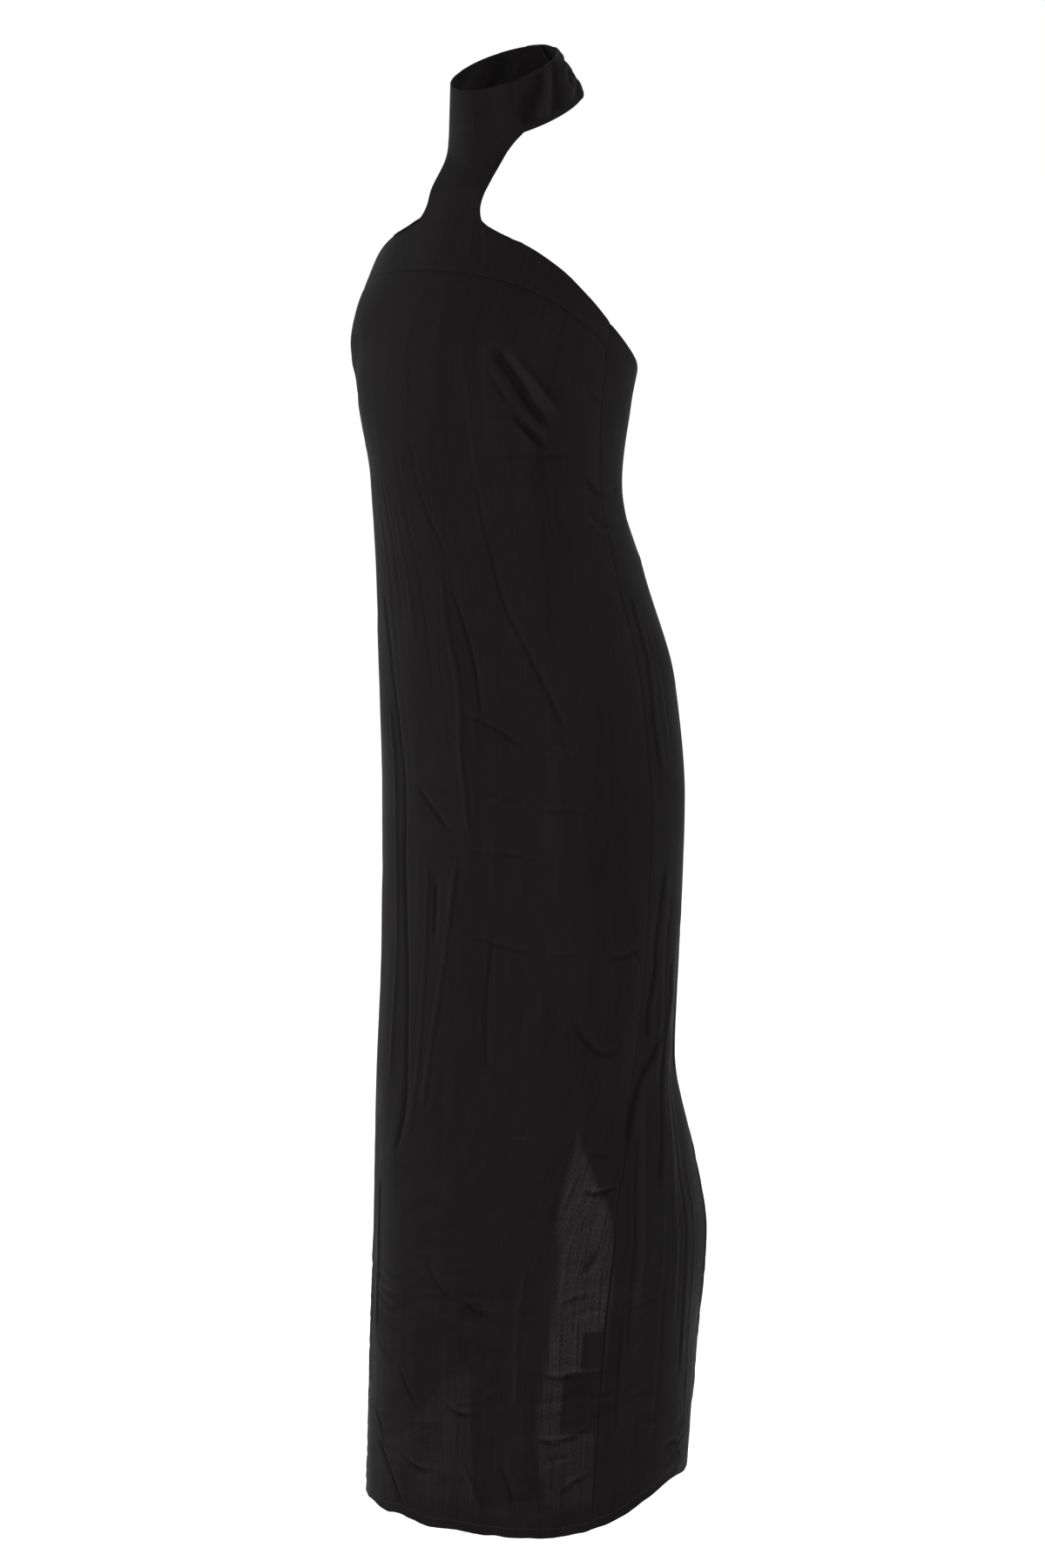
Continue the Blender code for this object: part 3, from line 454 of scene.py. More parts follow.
# Creases: soft ridges and troughs, each with a lesser one beside it. A row gives the width and
# depth, then the (angle, drop) places that the crease runs through
Crease = namedtuple("Crease", "width depth path")
FRONT_CREASES = (
    (0.0050, -0.0026, (41, 0.208), (50, 0.234), (58, 0.262), (67, 0.287)),
    (0.0042, 0.0022, (46, 0.213), (56, 0.238), (63, 0.257), (70, 0.275)),
    (0.0038, -0.0018, (49, 0.268), (57, 0.286), (67, 0.309)),
    (0.0028, 0.0011, (51, 0.281), (56, 0.292), (61, 0.306)),
    (0.0028, -0.0010, (38, 0.226), (45, 0.250), (50, 0.268)),
    (0.0020, 0.0006, (36, 0.283), (43, 0.280), (50, 0.277)),
    (0.0024, -0.0009, (42, 0.313), (54, 0.311), (66, 0.312), (80, 0.316)),
    (0.0020, 0.0007, (29, 0.218), (31, 0.256), (33, 0.298), (35, 0.350)),
    (0.0024, -0.0009, (34, 0.330), (36, 0.390), (39, 0.448), (45, 0.490), (50, 0.525), (57, 0.573)),
    (0.0022, -0.0007, (-2, 0.290), (1, 0.325), (6, 0.365), (12, 0.392), (14, 0.418)),
    (0.0024, 0.0012, (10, 0.422), (9, 0.478), (12, 0.527), (10, 0.592), (12, 0.655), (14, 0.678)),
    (0.0024, -0.0012, (14, 0.432), (20, 0.488), (22, 0.530), (22, 0.562)),
    (0.0023, -0.0010, (12, 0.558), (22, 0.562), (33, 0.574), (44, 0.594)),
    (0.0022, 0.0006, (44, 0.594), (52, 0.585), (62, 0.588)),
    (0.0020, 0.0005, (-33, 0.360), (-30, 0.430), (-28, 0.510)),
    (0.0022, -0.0006, (-26, 0.330), (-22, 0.400), (-20, 0.478)),
    (0.0020, 0.0005, (-18, 0.352), (-14, 0.430), (-12, 0.500)),
    (0.0021, -0.0005, (-12, 0.300), (-8, 0.370), (-4, 0.448), (-3, 0.540)),
    (0.0020, 0.0005, (2, 0.470), (1, 0.540), (3, 0.612)),
    (0.0040, -0.0014, (-36, 0.440), (-32, 0.543), (-30, 0.600), (-29, 0.655), (-30, 0.720)),
    (0.0042, -0.0016, (-30, 0.700), (-28, 0.790), (-22, 0.890), (-19, 0.950), (-23, 1.000)),
    (0.0028, 0.0011, (-38, 0.560), (-37, 0.680), (-36, 0.820), (-34, 0.930)),
    (0.0028, -0.0014, (-23, 0.633), (-15, 0.641), (-7, 0.655), (0, 0.668), (7, 0.676)),
    (0.0020, -0.0006, (-12, 0.634), (-2, 0.635), (8, 0.632)),
    (0.0021, 0.0007, (18, 0.634), (31, 0.639), (45, 0.640)),
    (0.0021, -0.0006, (40, 0.652), (48, 0.645), (58, 0.645), (68, 0.654)),
    (0.0022, -0.0006, (10, 0.682), (22, 0.690), (36, 0.688), (50, 0.697)),
    (0.0036, -0.0013, (-7, 0.710), (-7, 0.745), (-8, 0.785)),
    (0.0024, 0.0012, (7, 0.690), (3, 0.745), (-2, 0.815), (-6, 0.890), (-8, 0.950)),
    (0.0024, 0.0008, (-12, 0.700), (-14, 0.800), (-13, 0.900), (-15, 0.980)),
    (0.0026, -0.0008, (26, 0.760), (24, 0.830), (26, 0.900)),
    (0.0023, -0.0007, (14, 0.770), (30, 0.776), (46, 0.783)),
    (0.0026, -0.0015, (70, 0.786), (77, 0.786), (85, 0.779)),
    (0.0022, 0.0009, (76, 0.772), (82, 0.790), (86, 0.806)),
    (0.0022, -0.0006, (46, 0.790), (56, 0.782), (66, 0.786)),
    (0.0030, -0.0010, (58, 0.840), (66, 0.870), (73, 0.880), (80, 0.872)),
    (0.0024, -0.0003, (62, 0.976), (68, 0.978), (75, 0.982)),
    (0.0020, 0.0006, (33, 0.955), (40, 0.958), (47, 0.956)),
    (0.0026, -0.0015, (59, 1.009), (65, 1.015), (74, 1.011)),
    (0.0026, -0.0016, (66, 1.060), (61, 1.080), (55, 1.100)),
    (0.0024, -0.0012, (50, 1.122), (57, 1.114), (63, 1.116)),
    (0.0024, 0.0009, (54, 1.138), (62, 1.131), (67, 1.134)),
    (0.0024, -0.0012, (45, 1.190), (52, 1.194), (60, 1.189)),
    (0.0026, -0.0016, (43, 1.252), (52, 1.257), (65, 1.244)),
    (0.0024, -0.0013, (53, 1.312), (58, 1.299), (66, 1.288)),
    (0.0022, 0.0009, (46, 1.285), (52, 1.276), (60, 1.272)),
    (0.0026, 0.0009, (38, 1.080), (36, 1.150), (37, 1.230)),
    (0.0022, -0.0007, (14, 1.120), (22, 1.132), (30, 1.130)),
    (0.0024, -0.0008, (-2, 1.085), (4, 1.112), (12, 1.125)),
    (0.0024, -0.0010, (8, 1.228), (16, 1.236), (24, 1.232)),
    (0.0022, -0.0011, (-16, 1.196), (-10, 1.222), (-2, 1.246)),
    (0.0026, -0.0017, (-30, 1.282), (-22, 1.303), (-14, 1.330), (-10, 1.345)),
    (0.0022, 0.0009, (-36, 1.255), (-29, 1.272), (-24, 1.296)),
    (0.0024, -0.0011, (-14, 1.290), (-2, 1.300), (8, 1.296)),
    (0.0024, 0.0010, (16, 1.280), (22, 1.306), (26, 1.334)),
    (0.0024, -0.0010, (30, 1.270), (36, 1.300), (38, 1.332)),
    (0.0020, 0.0008, (44, 1.300), (46, 1.322), (45, 1.342)),
    (0.0036, -0.0016, (-44, 0.960), (-42, 1.060), (-44, 1.160), (-42, 1.250)),
    (0.0030, 0.0012, (-36, 1.020), (-33, 1.100), (-34, 1.190)),
    (0.0030, -0.0012, (24, 0.096), (27, 0.112), (29, 0.128), (30, 0.141)),
    (0.0022, 0.0008, (20, 0.100), (22, 0.120), (22, 0.138)),
)
SIDE_CREASES = (
    (0.0040, -0.0014, (96, 0.700), (94, 0.766), (94, 0.810), (92, 0.842), (93, 0.884)),
    (0.0046, -0.0015, (101, 0.862), (96, 0.890), (91, 0.906), (84, 0.944), (79, 0.975)),
    (0.0032, 0.0011, (99, 0.720), (98, 0.800), (99, 0.870), (97, 0.930)),
    (0.0032, -0.0011, (104, 0.790), (102, 0.880), (98, 0.960), (92, 1.030)),
    (0.0030, 0.0010, (90, 0.930), (86, 0.990), (82, 1.060), (80, 1.140)),
    (0.0028, -0.0009, (86, 0.960), (80, 1.030), (77, 1.110), (76, 1.180)),
    (0.0034, 0.0011, (108, 0.860), (104, 0.960), (100, 1.060), (99, 1.160)),
    (0.0030, -0.0011, (112, 0.900), (108, 1.010), (105, 1.110), (105, 1.220)),
    (0.0026, 0.0007, (94, 1.040), (91, 1.120), (91, 1.200), (90, 1.280)),
    (0.0026, -0.0007, (74, 1.130), (73, 1.190), (74, 1.260)),
    (0.0026, 0.0007, (116, 1.000), (113, 1.090), (112, 1.190), (113, 1.270)),
    (0.0026, -0.0009, (96, 1.286), (102, 1.280), (110, 1.290)),
    (0.0022, -0.0007, (100, 1.300), (106, 1.292), (112, 1.305)),
    (0.0022, 0.0006, (84, 1.246), (90, 1.256), (97, 1.252)),
    (0.0032, -0.0014, (84, 0.330), (94, 0.350), (104, 0.352), (116, 0.344)),
    (0.0028, 0.0012, (82, 0.362), (92, 0.384), (104, 0.392)),
    (0.0030, -0.0013, (98, 0.440), (96, 0.500), (93, 0.560), (94, 0.620)),
    (0.0028, 0.0010, (104, 0.470), (101, 0.540), (100, 0.610)),
    (0.0026, -0.0008, (82, 0.250), (88, 0.262), (96, 0.268)),
    (0.0040, -0.0020, (-62, 0.230), (-52, 0.252), (-44, 0.280)),
    (0.0032, -0.0013, (-84, 0.326), (-94, 0.348), (-106, 0.352)),
    (0.0026, 0.0010, (-70, 0.300), (-58, 0.312), (-46, 0.310)),
    (0.0034, -0.0016, (-58, 0.470), (-62, 0.560), (-60, 0.650), (-62, 0.730)),
    (0.0028, 0.0012, (-76, 0.420), (-80, 0.520), (-78, 0.610)),
    (0.0036, -0.0018, (-84, 0.740), (-80, 0.850), (-84, 0.960), (-82, 1.040)),
    (0.0030, 0.0013, (-70, 0.800), (-66, 0.900), (-68, 1.010), (-66, 1.110)),
    (0.0026, -0.0012, (-96, 0.800), (-88, 0.815), (-78, 0.812)),
    (0.0028, -0.0014, (-56, 1.120), (-60, 1.200), (-58, 1.290)),
    (0.0024, 0.0010, (-74, 1.180), (-78, 1.250), (-76, 1.310)),
    (0.0024, -0.0012, (-94, 1.250), (-84, 1.262), (-72, 1.256)),
    (0.0022, -0.0011, (-66, 1.318), (-58, 1.304), (-50, 1.310)),
)
BACK_CREASES = (
    (0.0036, -0.0018, (128, 0.330), (140, 0.350), (152, 0.356), (166, 0.350)),
    (0.0034, -0.0017, (232, 0.334), (220, 0.352), (208, 0.360), (194, 0.352)),
    (0.0028, 0.0012, (134, 0.372), (146, 0.386), (160, 0.384)),
    (0.0030, 0.0012, (226, 0.376), (214, 0.384), (202, 0.392)),
    (0.0030, -0.0014, (122, 0.410), (132, 0.434), (146, 0.446), (158, 0.442)),
    (0.0026, -0.0010, (238, 0.412), (228, 0.436), (216, 0.440)),
    (0.0040, -0.0020, (170, 0.700), (166, 0.720), (158, 0.728), (146, 0.722)),
    (0.0036, -0.0018, (188, 0.712), (196, 0.732), (206, 0.736), (218, 0.728)),
    (0.0030, 0.0012, (164, 0.740), (154, 0.752), (142, 0.748)),
    (0.0034, 0.0016, (146, 0.560), (143, 0.680), (142, 0.790), (140, 0.880)),
    (0.0032, -0.0015, (128, 0.600), (126, 0.720), (123, 0.830), (121, 0.930)),
    (0.0036, 0.0017, (200, 0.640), (196, 0.760), (194, 0.880), (192, 0.990)),
    (0.0034, -0.0017, (228, 0.580), (224, 0.700), (221, 0.820), (218, 0.920)),
    (0.0034, 0.0015, (244, 0.640), (240, 0.760), (236, 0.880), (234, 0.980)),
    (0.0036, -0.0018, (150, 0.900), (146, 1.010), (145, 1.120), (146, 1.210)),
    (0.0030, 0.0014, (134, 0.980), (128, 1.080), (127, 1.180), (128, 1.262)),
    (0.0036, 0.0016, (172, 0.960), (168, 1.070), (170, 1.170), (169, 1.270)),
    (0.0034, -0.0017, (186, 0.990), (184, 1.090), (186, 1.190), (185, 1.280)),
    (0.0032, -0.0015, (208, 0.960), (204, 1.080), (205, 1.180), (203, 1.280)),
    (0.0030, 0.0013, (222, 1.000), (217, 1.100), (218, 1.200), (216, 1.290)),
    (0.0030, -0.0013, (240, 1.040), (236, 1.140), (237, 1.240), (236, 1.310)),
    (0.0026, -0.0013, (131, 1.243), (140, 1.252), (152, 1.246)),
    (0.0024, -0.0012, (162, 1.262), (174, 1.276), (190, 1.270)),
    (0.0024, 0.0010, (196, 1.236), (208, 1.250), (222, 1.246)),
    (0.0024, -0.0012, (224, 1.292), (234, 1.280), (246, 1.288)),
    (0.0022, -0.0010, (130, 1.300), (140, 1.288), (152, 1.296)),
)
CREASES = [
    Crease(width, depth, path)
    for width, depth, *path in FRONT_CREASES + SIDE_CREASES + BACK_CREASES
]

# Labels inside the left side seam: the seam's edge, and how far each reaches forward from it
LABELS = table(
    "name top_drop low_drop reach",
    ("care_label_upper", 1.150, 1.186, 0.023),
    ("care_label_lower", 1.188, 1.249, 0.038),
)

# Each sheet's flat cut, its area where it isn't a rectangle, and what it hangs from
Sheet = namedtuple("Sheet", "flat area rests_on")

# How finely each cloth's outer face is divided across and down, and the lengths of its sides,
# which place the closer rows near its edges
BAND_GRID = (280, 34)
BAND_SEAM_CLEARANCE = 0.01
YOKE_GRID = (190, 96)
YOKE_WIDTH = 0.2
YOKE_FALL = 0.17
Panel = namedtuple("Panel", "columns width top_at_side bust_run")
FRONT = Panel(178, 0.47, YOKE_END, 0.12)
BACK = Panel(104, 0.24, SIDE_TOP, 0.109)
BUST_ROWS = 36
SKIRT_ROWS = 338
SKIRT_RUN = 1.05
LINING_COLUMNS = {"lining_front": 71, "lining_back_left": 39, "lining_back_right": 39}
LINING_BUST_ROWS = 18
LINING_SKIRT_ROWS = 141
LABEL_COLUMN = 0.0012
LABEL_ROW = 0.0015
ZIP_TAPE_GRID = (25, 181)

# The studio's softboxes: where each stands round the camera, its size and power, what it faces
SOFTBOXES = table(
    "name turn distance height wide tall power aim_height",
    ("front_softbox", -14, 3.2, -0.3, 1.1, 1.1, 117, -0.65),
    ("top_softbox", 18, 1.8, 1.9, 0.8, 0.8, 22, -1.0),
    ("left_softbox", -112, 2.2, 0.0, 0.7, 2.2, 30, -0.65),
    ("right_softbox", 98, 2.2, 0.0, 0.7, 2.2, 30, -0.65),
)


def column_at(rows, column, place):
    """A table's column at a place along its first column, with no bump past its own rows."""
    knots = np.array([row[0] for row in rows], dtype=float)
    values = np.array([getattr(row, column) for row in rows], dtype=float)
    steps = np.diff(knots)
    rates = np.diff(values) / steps
    product = rates[:-1] * rates[1:]
    total = np.where(product > 0, rates[:-1] + rates[1:], 1.0)
    inner = np.where(product > 0, 2 * product / total, 0.0)
    slopes = np.concatenate([rates[:1], inner, rates[-1:]])
    upper = np.clip(np.searchsorted(knots, place), 1, len(knots) - 1)
    lower = upper - 1
    step = steps[lower]
    t = np.clip((place - knots[lower]) / step, 0.0, 1.0)
    rise = t * t * (3 - 2 * t)
    bend = t * (1 - t)
    return (
        values[lower] * (1 - rise)
        + values[upper] * rise
        + step * bend * ((1 - t) * slopes[lower] - t * slopes[upper])
    )


def smooth_step(value):
    """0 below 0, 1 above 1, and an even rise between."""
    t = np.clip(value, 0.0, 1.0)
    return t * t * (3 - 2 * t)


def soft_line(x, y, start, end, bow, width, depth):
    """The height at (x, y) of a soft fold that runs from start to end and fades at its ends."""
    run = (end[0] - start[0], end[1] - start[1])
    length = math.hypot(*run)
    along = ((x - start[0]) * run[0] + (y - start[1]) * run[1]) / length**2
    across = ((x - start[0]) * run[1] - (y - start[1]) * run[0]) / length
    inside = np.clip(4 * along * (1 - along), 0.0, 1.0)
    return depth * smooth_step(FOLD_END * inside) * np.exp(-(((across - bow * inside) / width) ** 2))


def ring_reach(angle, drop):
    """How far the cloth's outer face is from its ring's centre."""
    half_width = column_at(RINGS, "half_width", drop)
    depth = (column_at(RINGS, "front", drop) + column_at(RINGS, "back", drop)) / 2
    square = column_at(RINGS, "square", drop)
    across = np.abs(np.sin(angle)) / half_width
    along = np.abs(np.cos(angle)) / depth
    return (across**square + along**square) ** (-1 / square)


def turn_from(angle, middle):
    """The turn from a middle angle, between half a turn back and half a turn on."""
    return (angle - middle + math.pi) % (2 * math.pi) - math.pi


def fold_height(angle, drop, reach):
    """How far all the large folds together move the cloth out."""
    height = np.zeros_like(reach)
    for fold in FOLDS:
        offset = turn_from(angle, math.radians((fold.from_angle + fold.to_angle) / 2))
        half_turn = math.radians(fold.to_angle - fold.from_angle) / 2
        start = (-half_turn * FOLD_RADIUS, fold.from_drop)
        end = (half_turn * FOLD_RADIUS, fold.to_drop)
        share = SMOOTH_SIDE_SHARE if abs(fold.to_angle) < SMOOTH_SIDE else OTHER_SIDE_SHARE
        depth = share * fold.depth
        height += soft_line(offset * reach, drop, start, end, fold.bow, fold.width, depth)
    return height


def smooth_path(points, steps=6):
    """A smooth curve through points, as a denser row of points."""
    points = np.asarray(points, dtype=float)
    padded = np.concatenate([[2 * points[0] - points[1]], points, [2 * points[-1] - points[-2]]])
    t = np.linspace(0, 1, steps, endpoint=False)[:, None]
    path = []
    for a, b, c, d in zip(padded, padded[1:], padded[2:], padded[3:]):
        path.append(
            (2 * b + (c - a) * t + (2 * a - 5 * b + 4 * c - d) * t**2 + (3 * b - a - 3 * c + d) * t**3) / 2
        )
    return np.concatenate(path + [points[-1:]])


def crease_height(angle, drop):
    """How far all the creases together move the cloth out."""
    height = np.zeros(angle.shape)
    for crease in CREASES:
        middle = math.radians(np.mean([place[0] for place in crease.path]))
        middle_drop = np.mean([place[1] for place in crease.path])
        radius = float(ring_reach(np.array(middle), np.array(middle_drop)))
        route = smooth_path([((math.radians(a) - middle) * radius, d) for a, d in crease.path])
        x = turn_from(angle, middle) * radius
        margin = CREASE_MARGIN * crease.width
        low, high = route.min(axis=0) - margin, route.max(axis=0) + margin
        near = (x > low[0]) & (x < high[0]) & (drop > low[1]) & (drop < high[1])
        if not near.any():
            continue
        place = np.stack([x[near], drop[near]], axis=-1)
        nearest = np.full(len(place), np.inf)
        offset = np.zeros(len(place))
        along = np.zeros(len(place))
        lengths = np.linalg.norm(np.diff(route, axis=0), axis=1)
        travelled = np.concatenate([[0], np.cumsum(lengths)])
        for start, end, length, past in zip(route, route[1:], lengths, travelled):
            run = (end - start) / length
            gap = place - start
            share = np.clip(gap @ run, 0, length)
            away = np.linalg.norm(gap - share[:, None] * run, axis=1)
            closer = away < nearest
            nearest[closer] = away[closer]
            side = gap[:, 0] * run[1] - gap[:, 1] * run[0]
            offset[closer] = (np.sign(side) * away)[closer]
            along[closer] = (past + share)[closer]
        total = travelled[-1]
        fade = min(CREASE_FADE_SHARE * total, CREASE_FADE)
        ends = smooth_step(along / fade) * smooth_step((total - along) / fade)
        width = CREASE_SHARPNESS * crease.width
        shape = np.exp(-((offset / width) ** 2))
        beside = np.exp(-(((offset - BESIDE_OFFSET * width) / (BESIDE_WIDTH * width)) ** 2))
        spans = np.ptp(route, axis=0)
        gain = LEVEL_CREASE_GAIN if spans[0] > spans[1] and middle_drop > SLIT_TOP else 1.0
        height[near] += gain * crease.depth * ends * (shape - BESIDE_SHARE * beside)
    return height


def soft_noise(x, y, seed):
    """Smooth uneven heights between -1 and 1, one bump to a unit."""
    lattice = np.random.default_rng(seed).uniform(-1, 1, (NOISE_CELLS, NOISE_CELLS))
    column, row = np.floor(x).astype(int), np.floor(y).astype(int)
    across, down = smooth_step(x - column), smooth_step(y - row)
    left, right = column % NOISE_CELLS, (column + 1) % NOISE_CELLS
    upper, lower = row % NOISE_CELLS, (row + 1) % NOISE_CELLS
    top = lattice[left, upper] * (1 - across) + lattice[right, upper] * across
    low = lattice[left, lower] * (1 - across) + lattice[right, lower] * across
    return top * (1 - down) + low * down


def uneven(pattern, around, drop):
    """A pattern's height at a place on the cloth, between -1 and 1."""
    return soft_noise(around / pattern.around, drop / pattern.down, pattern.seed)


def ease_height(angle, drop):
    """The cloth's slight unevenness: long soft streaks along its threads, and low small wrinkles."""
    around = angle * FOLD_RADIUS
    streaks = uneven(STREAKS, around, drop) + FINE_STREAK_SHARE * uneven(FINE_STREAKS, around, drop)
    drags = DRAG_SHARE * uneven(DRAGS, around, drop)
    slant = drop + WRINKLE_SLANT * around + WRINKLE_DRIFT * uneven(WRINKLE_DRIFTS, around, drop)
    wrinkles = uneven(WRINKLES, around, slant) * uneven(WRINKLE_PATCHES, around, drop)
    low = smooth_step((drop - WRINKLE_TOP) / WRINKLE_FADE)
    return GRAIN_HEIGHT * (streaks + drags) + WRINKLE_HEIGHT * low * wrinkles


def seam_distance(angle, drop, reach):
    """The distance to the nearest of the long seams and the seam under the yoke."""
    nearest = np.full(angle.shape, np.inf)
    for column in ("left_side", "centre_back", "right_side"):
        seam = np.radians(column_at(SEAMS, column, drop))
        away = np.abs(turn_from(angle, seam)) * reach
        top = BACK_TOP if column == "centre_back" else SIDE_TOP
        nearest = np.minimum(nearest, np.where(drop > top - SEAM_DIP_WIDTH, away, np.inf))
    turn = turn_from(angle, 0.0)
    past_side = np.maximum(np.abs(turn) - math.pi / 2, 0.0) * reach
    under_yoke = drop - yoke_seam_drop(np.clip(turn, -math.pi / 2, math.pi / 2))
    return np.minimum(nearest, np.hypot(under_yoke, past_side))


def seam_relief(angle, drop, reach):
    """The dip along each seam, and the slight puckers beside it."""
    away = seam_distance(angle, drop, reach)
    dip = -SEAM_DIP * np.exp(-((away / SEAM_DIP_WIDTH) ** 2))
    around = turn_from(angle, 0.0) * FOLD_RADIUS
    waves = soft_noise((drop + PUCKER_SLANT * around) / PUCKERS.down, around / PUCKERS.around, PUCKERS.seed)
    return dip + PUCKER_HEIGHT * waves * np.exp(-((away / PUCKER_REACH) ** 2)) * (away > 0)


def solid_face(angle, drop):
    """The worn form that the solids have."""
    angle, drop = np.broadcast_arrays(angle, drop)
    reach = ring_reach(angle, drop)
    return on_ring(angle, drop, reach + fold_height(angle, drop, reach))


def on_ring(angle, drop, reach):
    """The point at an angle and a reach from a ring's centre."""
    centre = (column_at(RINGS, "back", drop) - column_at(RINGS, "front", drop)) / 2
    x = column_at(RINGS, "sway", drop) + reach * np.sin(angle)
    y = centre - reach * np.cos(angle)
    return np.stack([x, y, -drop], axis=-1)


def body(angle, drop):
    """The worn cloth's outer face, with its creases and seams."""
    angle, drop = np.broadcast_arrays(angle, drop)
    reach = ring_reach(angle, drop)
    relief = crease_height(angle, drop) + ease_height(angle, drop)
    reach = reach + fold_height(angle, drop, reach) + relief + seam_relief(angle, drop, reach)
    return on_ring(angle, drop, reach)


def lining_body(angle, drop):
    """The face that the lining hangs behind: the large folds with softer creases."""
    angle, drop = np.broadcast_arrays(angle, drop)
    reach = ring_reach(angle, drop)
    relief = LINING_RELIEF * crease_height(angle, drop)
    return on_ring(angle, drop, reach + fold_height(angle, drop, reach) + relief)


def crumple_height(turn, height):
    """How far all the crumples together move the neckband out."""
    around = BAND_LOW_HALF_WIDTH * turn
    lift = np.zeros(np.broadcast(turn, height).shape)
    for row in CRUMPLES:
        start = (BAND_LOW_HALF_WIDTH * math.radians(row.from_turn), BAND_HEIGHT * row.from_height)
        end = (BAND_LOW_HALF_WIDTH * math.radians(row.to_turn), BAND_HEIGHT * row.to_height)
        lift += soft_line(around, BAND_HEIGHT * height, start, end, 0.0, row.width, row.depth)
    return lift


def neckband(turn, fall):
    """The neckband's outer face; fall runs from 0 at its top edge to 1 at its lower edge."""
    turn, fall = np.broadcast_arrays(turn, fall)
    height = 1 - fall
    lift = (WALL + SEAM_GAP) * smooth_step((turn - math.pi + BAND_LAP_RISE) / BAND_LAP_RISE)
    lift = lift + crumple_height(turn, height)
    half_width = BAND_LOW_HALF_WIDTH + (BAND_TOP_HALF_WIDTH - BAND_LOW_HALF_WIDTH) * height + lift
    half_depth = BAND_LOW_HALF_DEPTH + (BAND_TOP_HALF_DEPTH - BAND_LOW_HALF_DEPTH) * height + lift
    along = -half_depth * np.cos(turn)
    up = height * BAND_HEIGHT
    x = half_width * np.sin(turn)
    y = along * math.cos(BAND_TILT) - up * math.sin(BAND_TILT)
    z = along * math.sin(BAND_TILT) + up * math.cos(BAND_TILT)
    return np.stack([x, y, z], axis=-1)


def yoke_seam_drop(angle):
    """The drop of the seam under the yoke."""
    return column_at(YOKE_SEAM, "drop", np.abs(np.degrees(angle)))


def seam_slant(angle, drop):
    """How much further apart two edges are set in drop, so that a slanted seam keeps its gap."""
    rise = yoke_seam_drop(angle + SLOPE_STEP) - yoke_seam_drop(angle - SLOPE_STEP)
    return np.sqrt(1 + (rise / (2 * SLOPE_STEP * ring_reach(angle, drop))) ** 2)


def yoke(across, fall):
    """The yoke's outer face; across runs from -1 to 1 and fall from 0 to 1 at the seam."""
    across, fall = np.broadcast_arrays(across, fall)
    half_angle = np.minimum(np.radians(column_at(YOKE_ROWS, "half_angle", fall)), math.pi / 2)
    centre = column_at(YOKE_ROWS, "centre_drop", fall)
    edge = column_at(YOKE_ROWS, "edge_drop", fall)
    seam_centre = yoke_seam_drop(0.0)
    seam_fall = yoke_seam_drop(across * math.pi / 2) - seam_centre
    share = seam_fall / (yoke_seam_drop(math.pi / 2) - seam_centre)
    angle = across * half_angle
    drop = centre + (edge - centre) * share
    drop = drop - CLOTH_GAP * seam_slant(angle, drop) * smooth_step(fall)
    side = 1 - CLOTH_GAP / ring_reach(angle, drop) / (math.pi / 2) * smooth_step(fall)
    below = CLOTH_GAP + fall * YOKE_JOIN_DROP / YOKE_JOIN
    strap = neckband(angle, 1 + below / BAND_HEIGHT)
    joined = smooth_step(fall / YOKE_JOIN)[..., None]
    return strap * (1 - joined) + body(angle * side, drop) * joined


def seam_angle(rows, column, drop):
    """A seam's angle at a drop."""
    return np.radians(column_at(rows, column, drop))


def hem_drop(column, angle):
    """A hem's drop at an angle that may be given from either side of the right side seam."""
    first = HEMS[0].angle
    return column_at(HEMS, column, (np.degrees(angle) - first) % 360 + first)


def outer_hem(angle):
    """The outer hem's drop at an angle, with its slight waves."""
    around = turn_from(angle, 0.0) * FOLD_RADIUS
    level = np.zeros_like(around)
    wave = uneven(HEM_WAVES, around, level) + HEM_RIPPLE_SHARE * uneven(HEM_RIPPLES, around, level)
    return hem_drop("outer", angle) + HEM_WAVE * wave


def lining_hem(angle):
    """The lining hem's drop at an angle."""
    return hem_drop("lining", angle)


def back_top_drop(share):
    """The back's top edge, from the side seam (0) down to the centre back (1)."""
    return SIDE_TOP + (BACK_TOP - SIDE_TOP) * (1 - (1 - share) ** BACK_TOP_CURVE)


def right_back_top(share):
    """The right back's top edge, from the centre back (0) up to the side seam (1)."""
    return back_top_drop(1 - share)


def bust_shares(top_at_side, rows):
    """Shares of the way from a panel's top edge to bust level; all panels' rows meet at the side."""
    first = (YOKE_END - top_at_side) / (BUST_LEVEL - top_at_side)
    above = np.linspace(0, first, round(rows * first) + 1)[:-1] if first > 0 else []
    return np.concatenate([above, np.linspace(first, 1, rows + 1)])


def near_edge(shares, length, at_start=True, at_end=True):
    """Adds shares close to a side's ends, where a seam or an edge turns."""
    near = np.array(NEAREST_EDGE_STEPS) / length
    parts = [shares, near if at_start else [], 1 - near if at_end else []]
    return np.unique(np.round(np.concatenate(parts), 9))


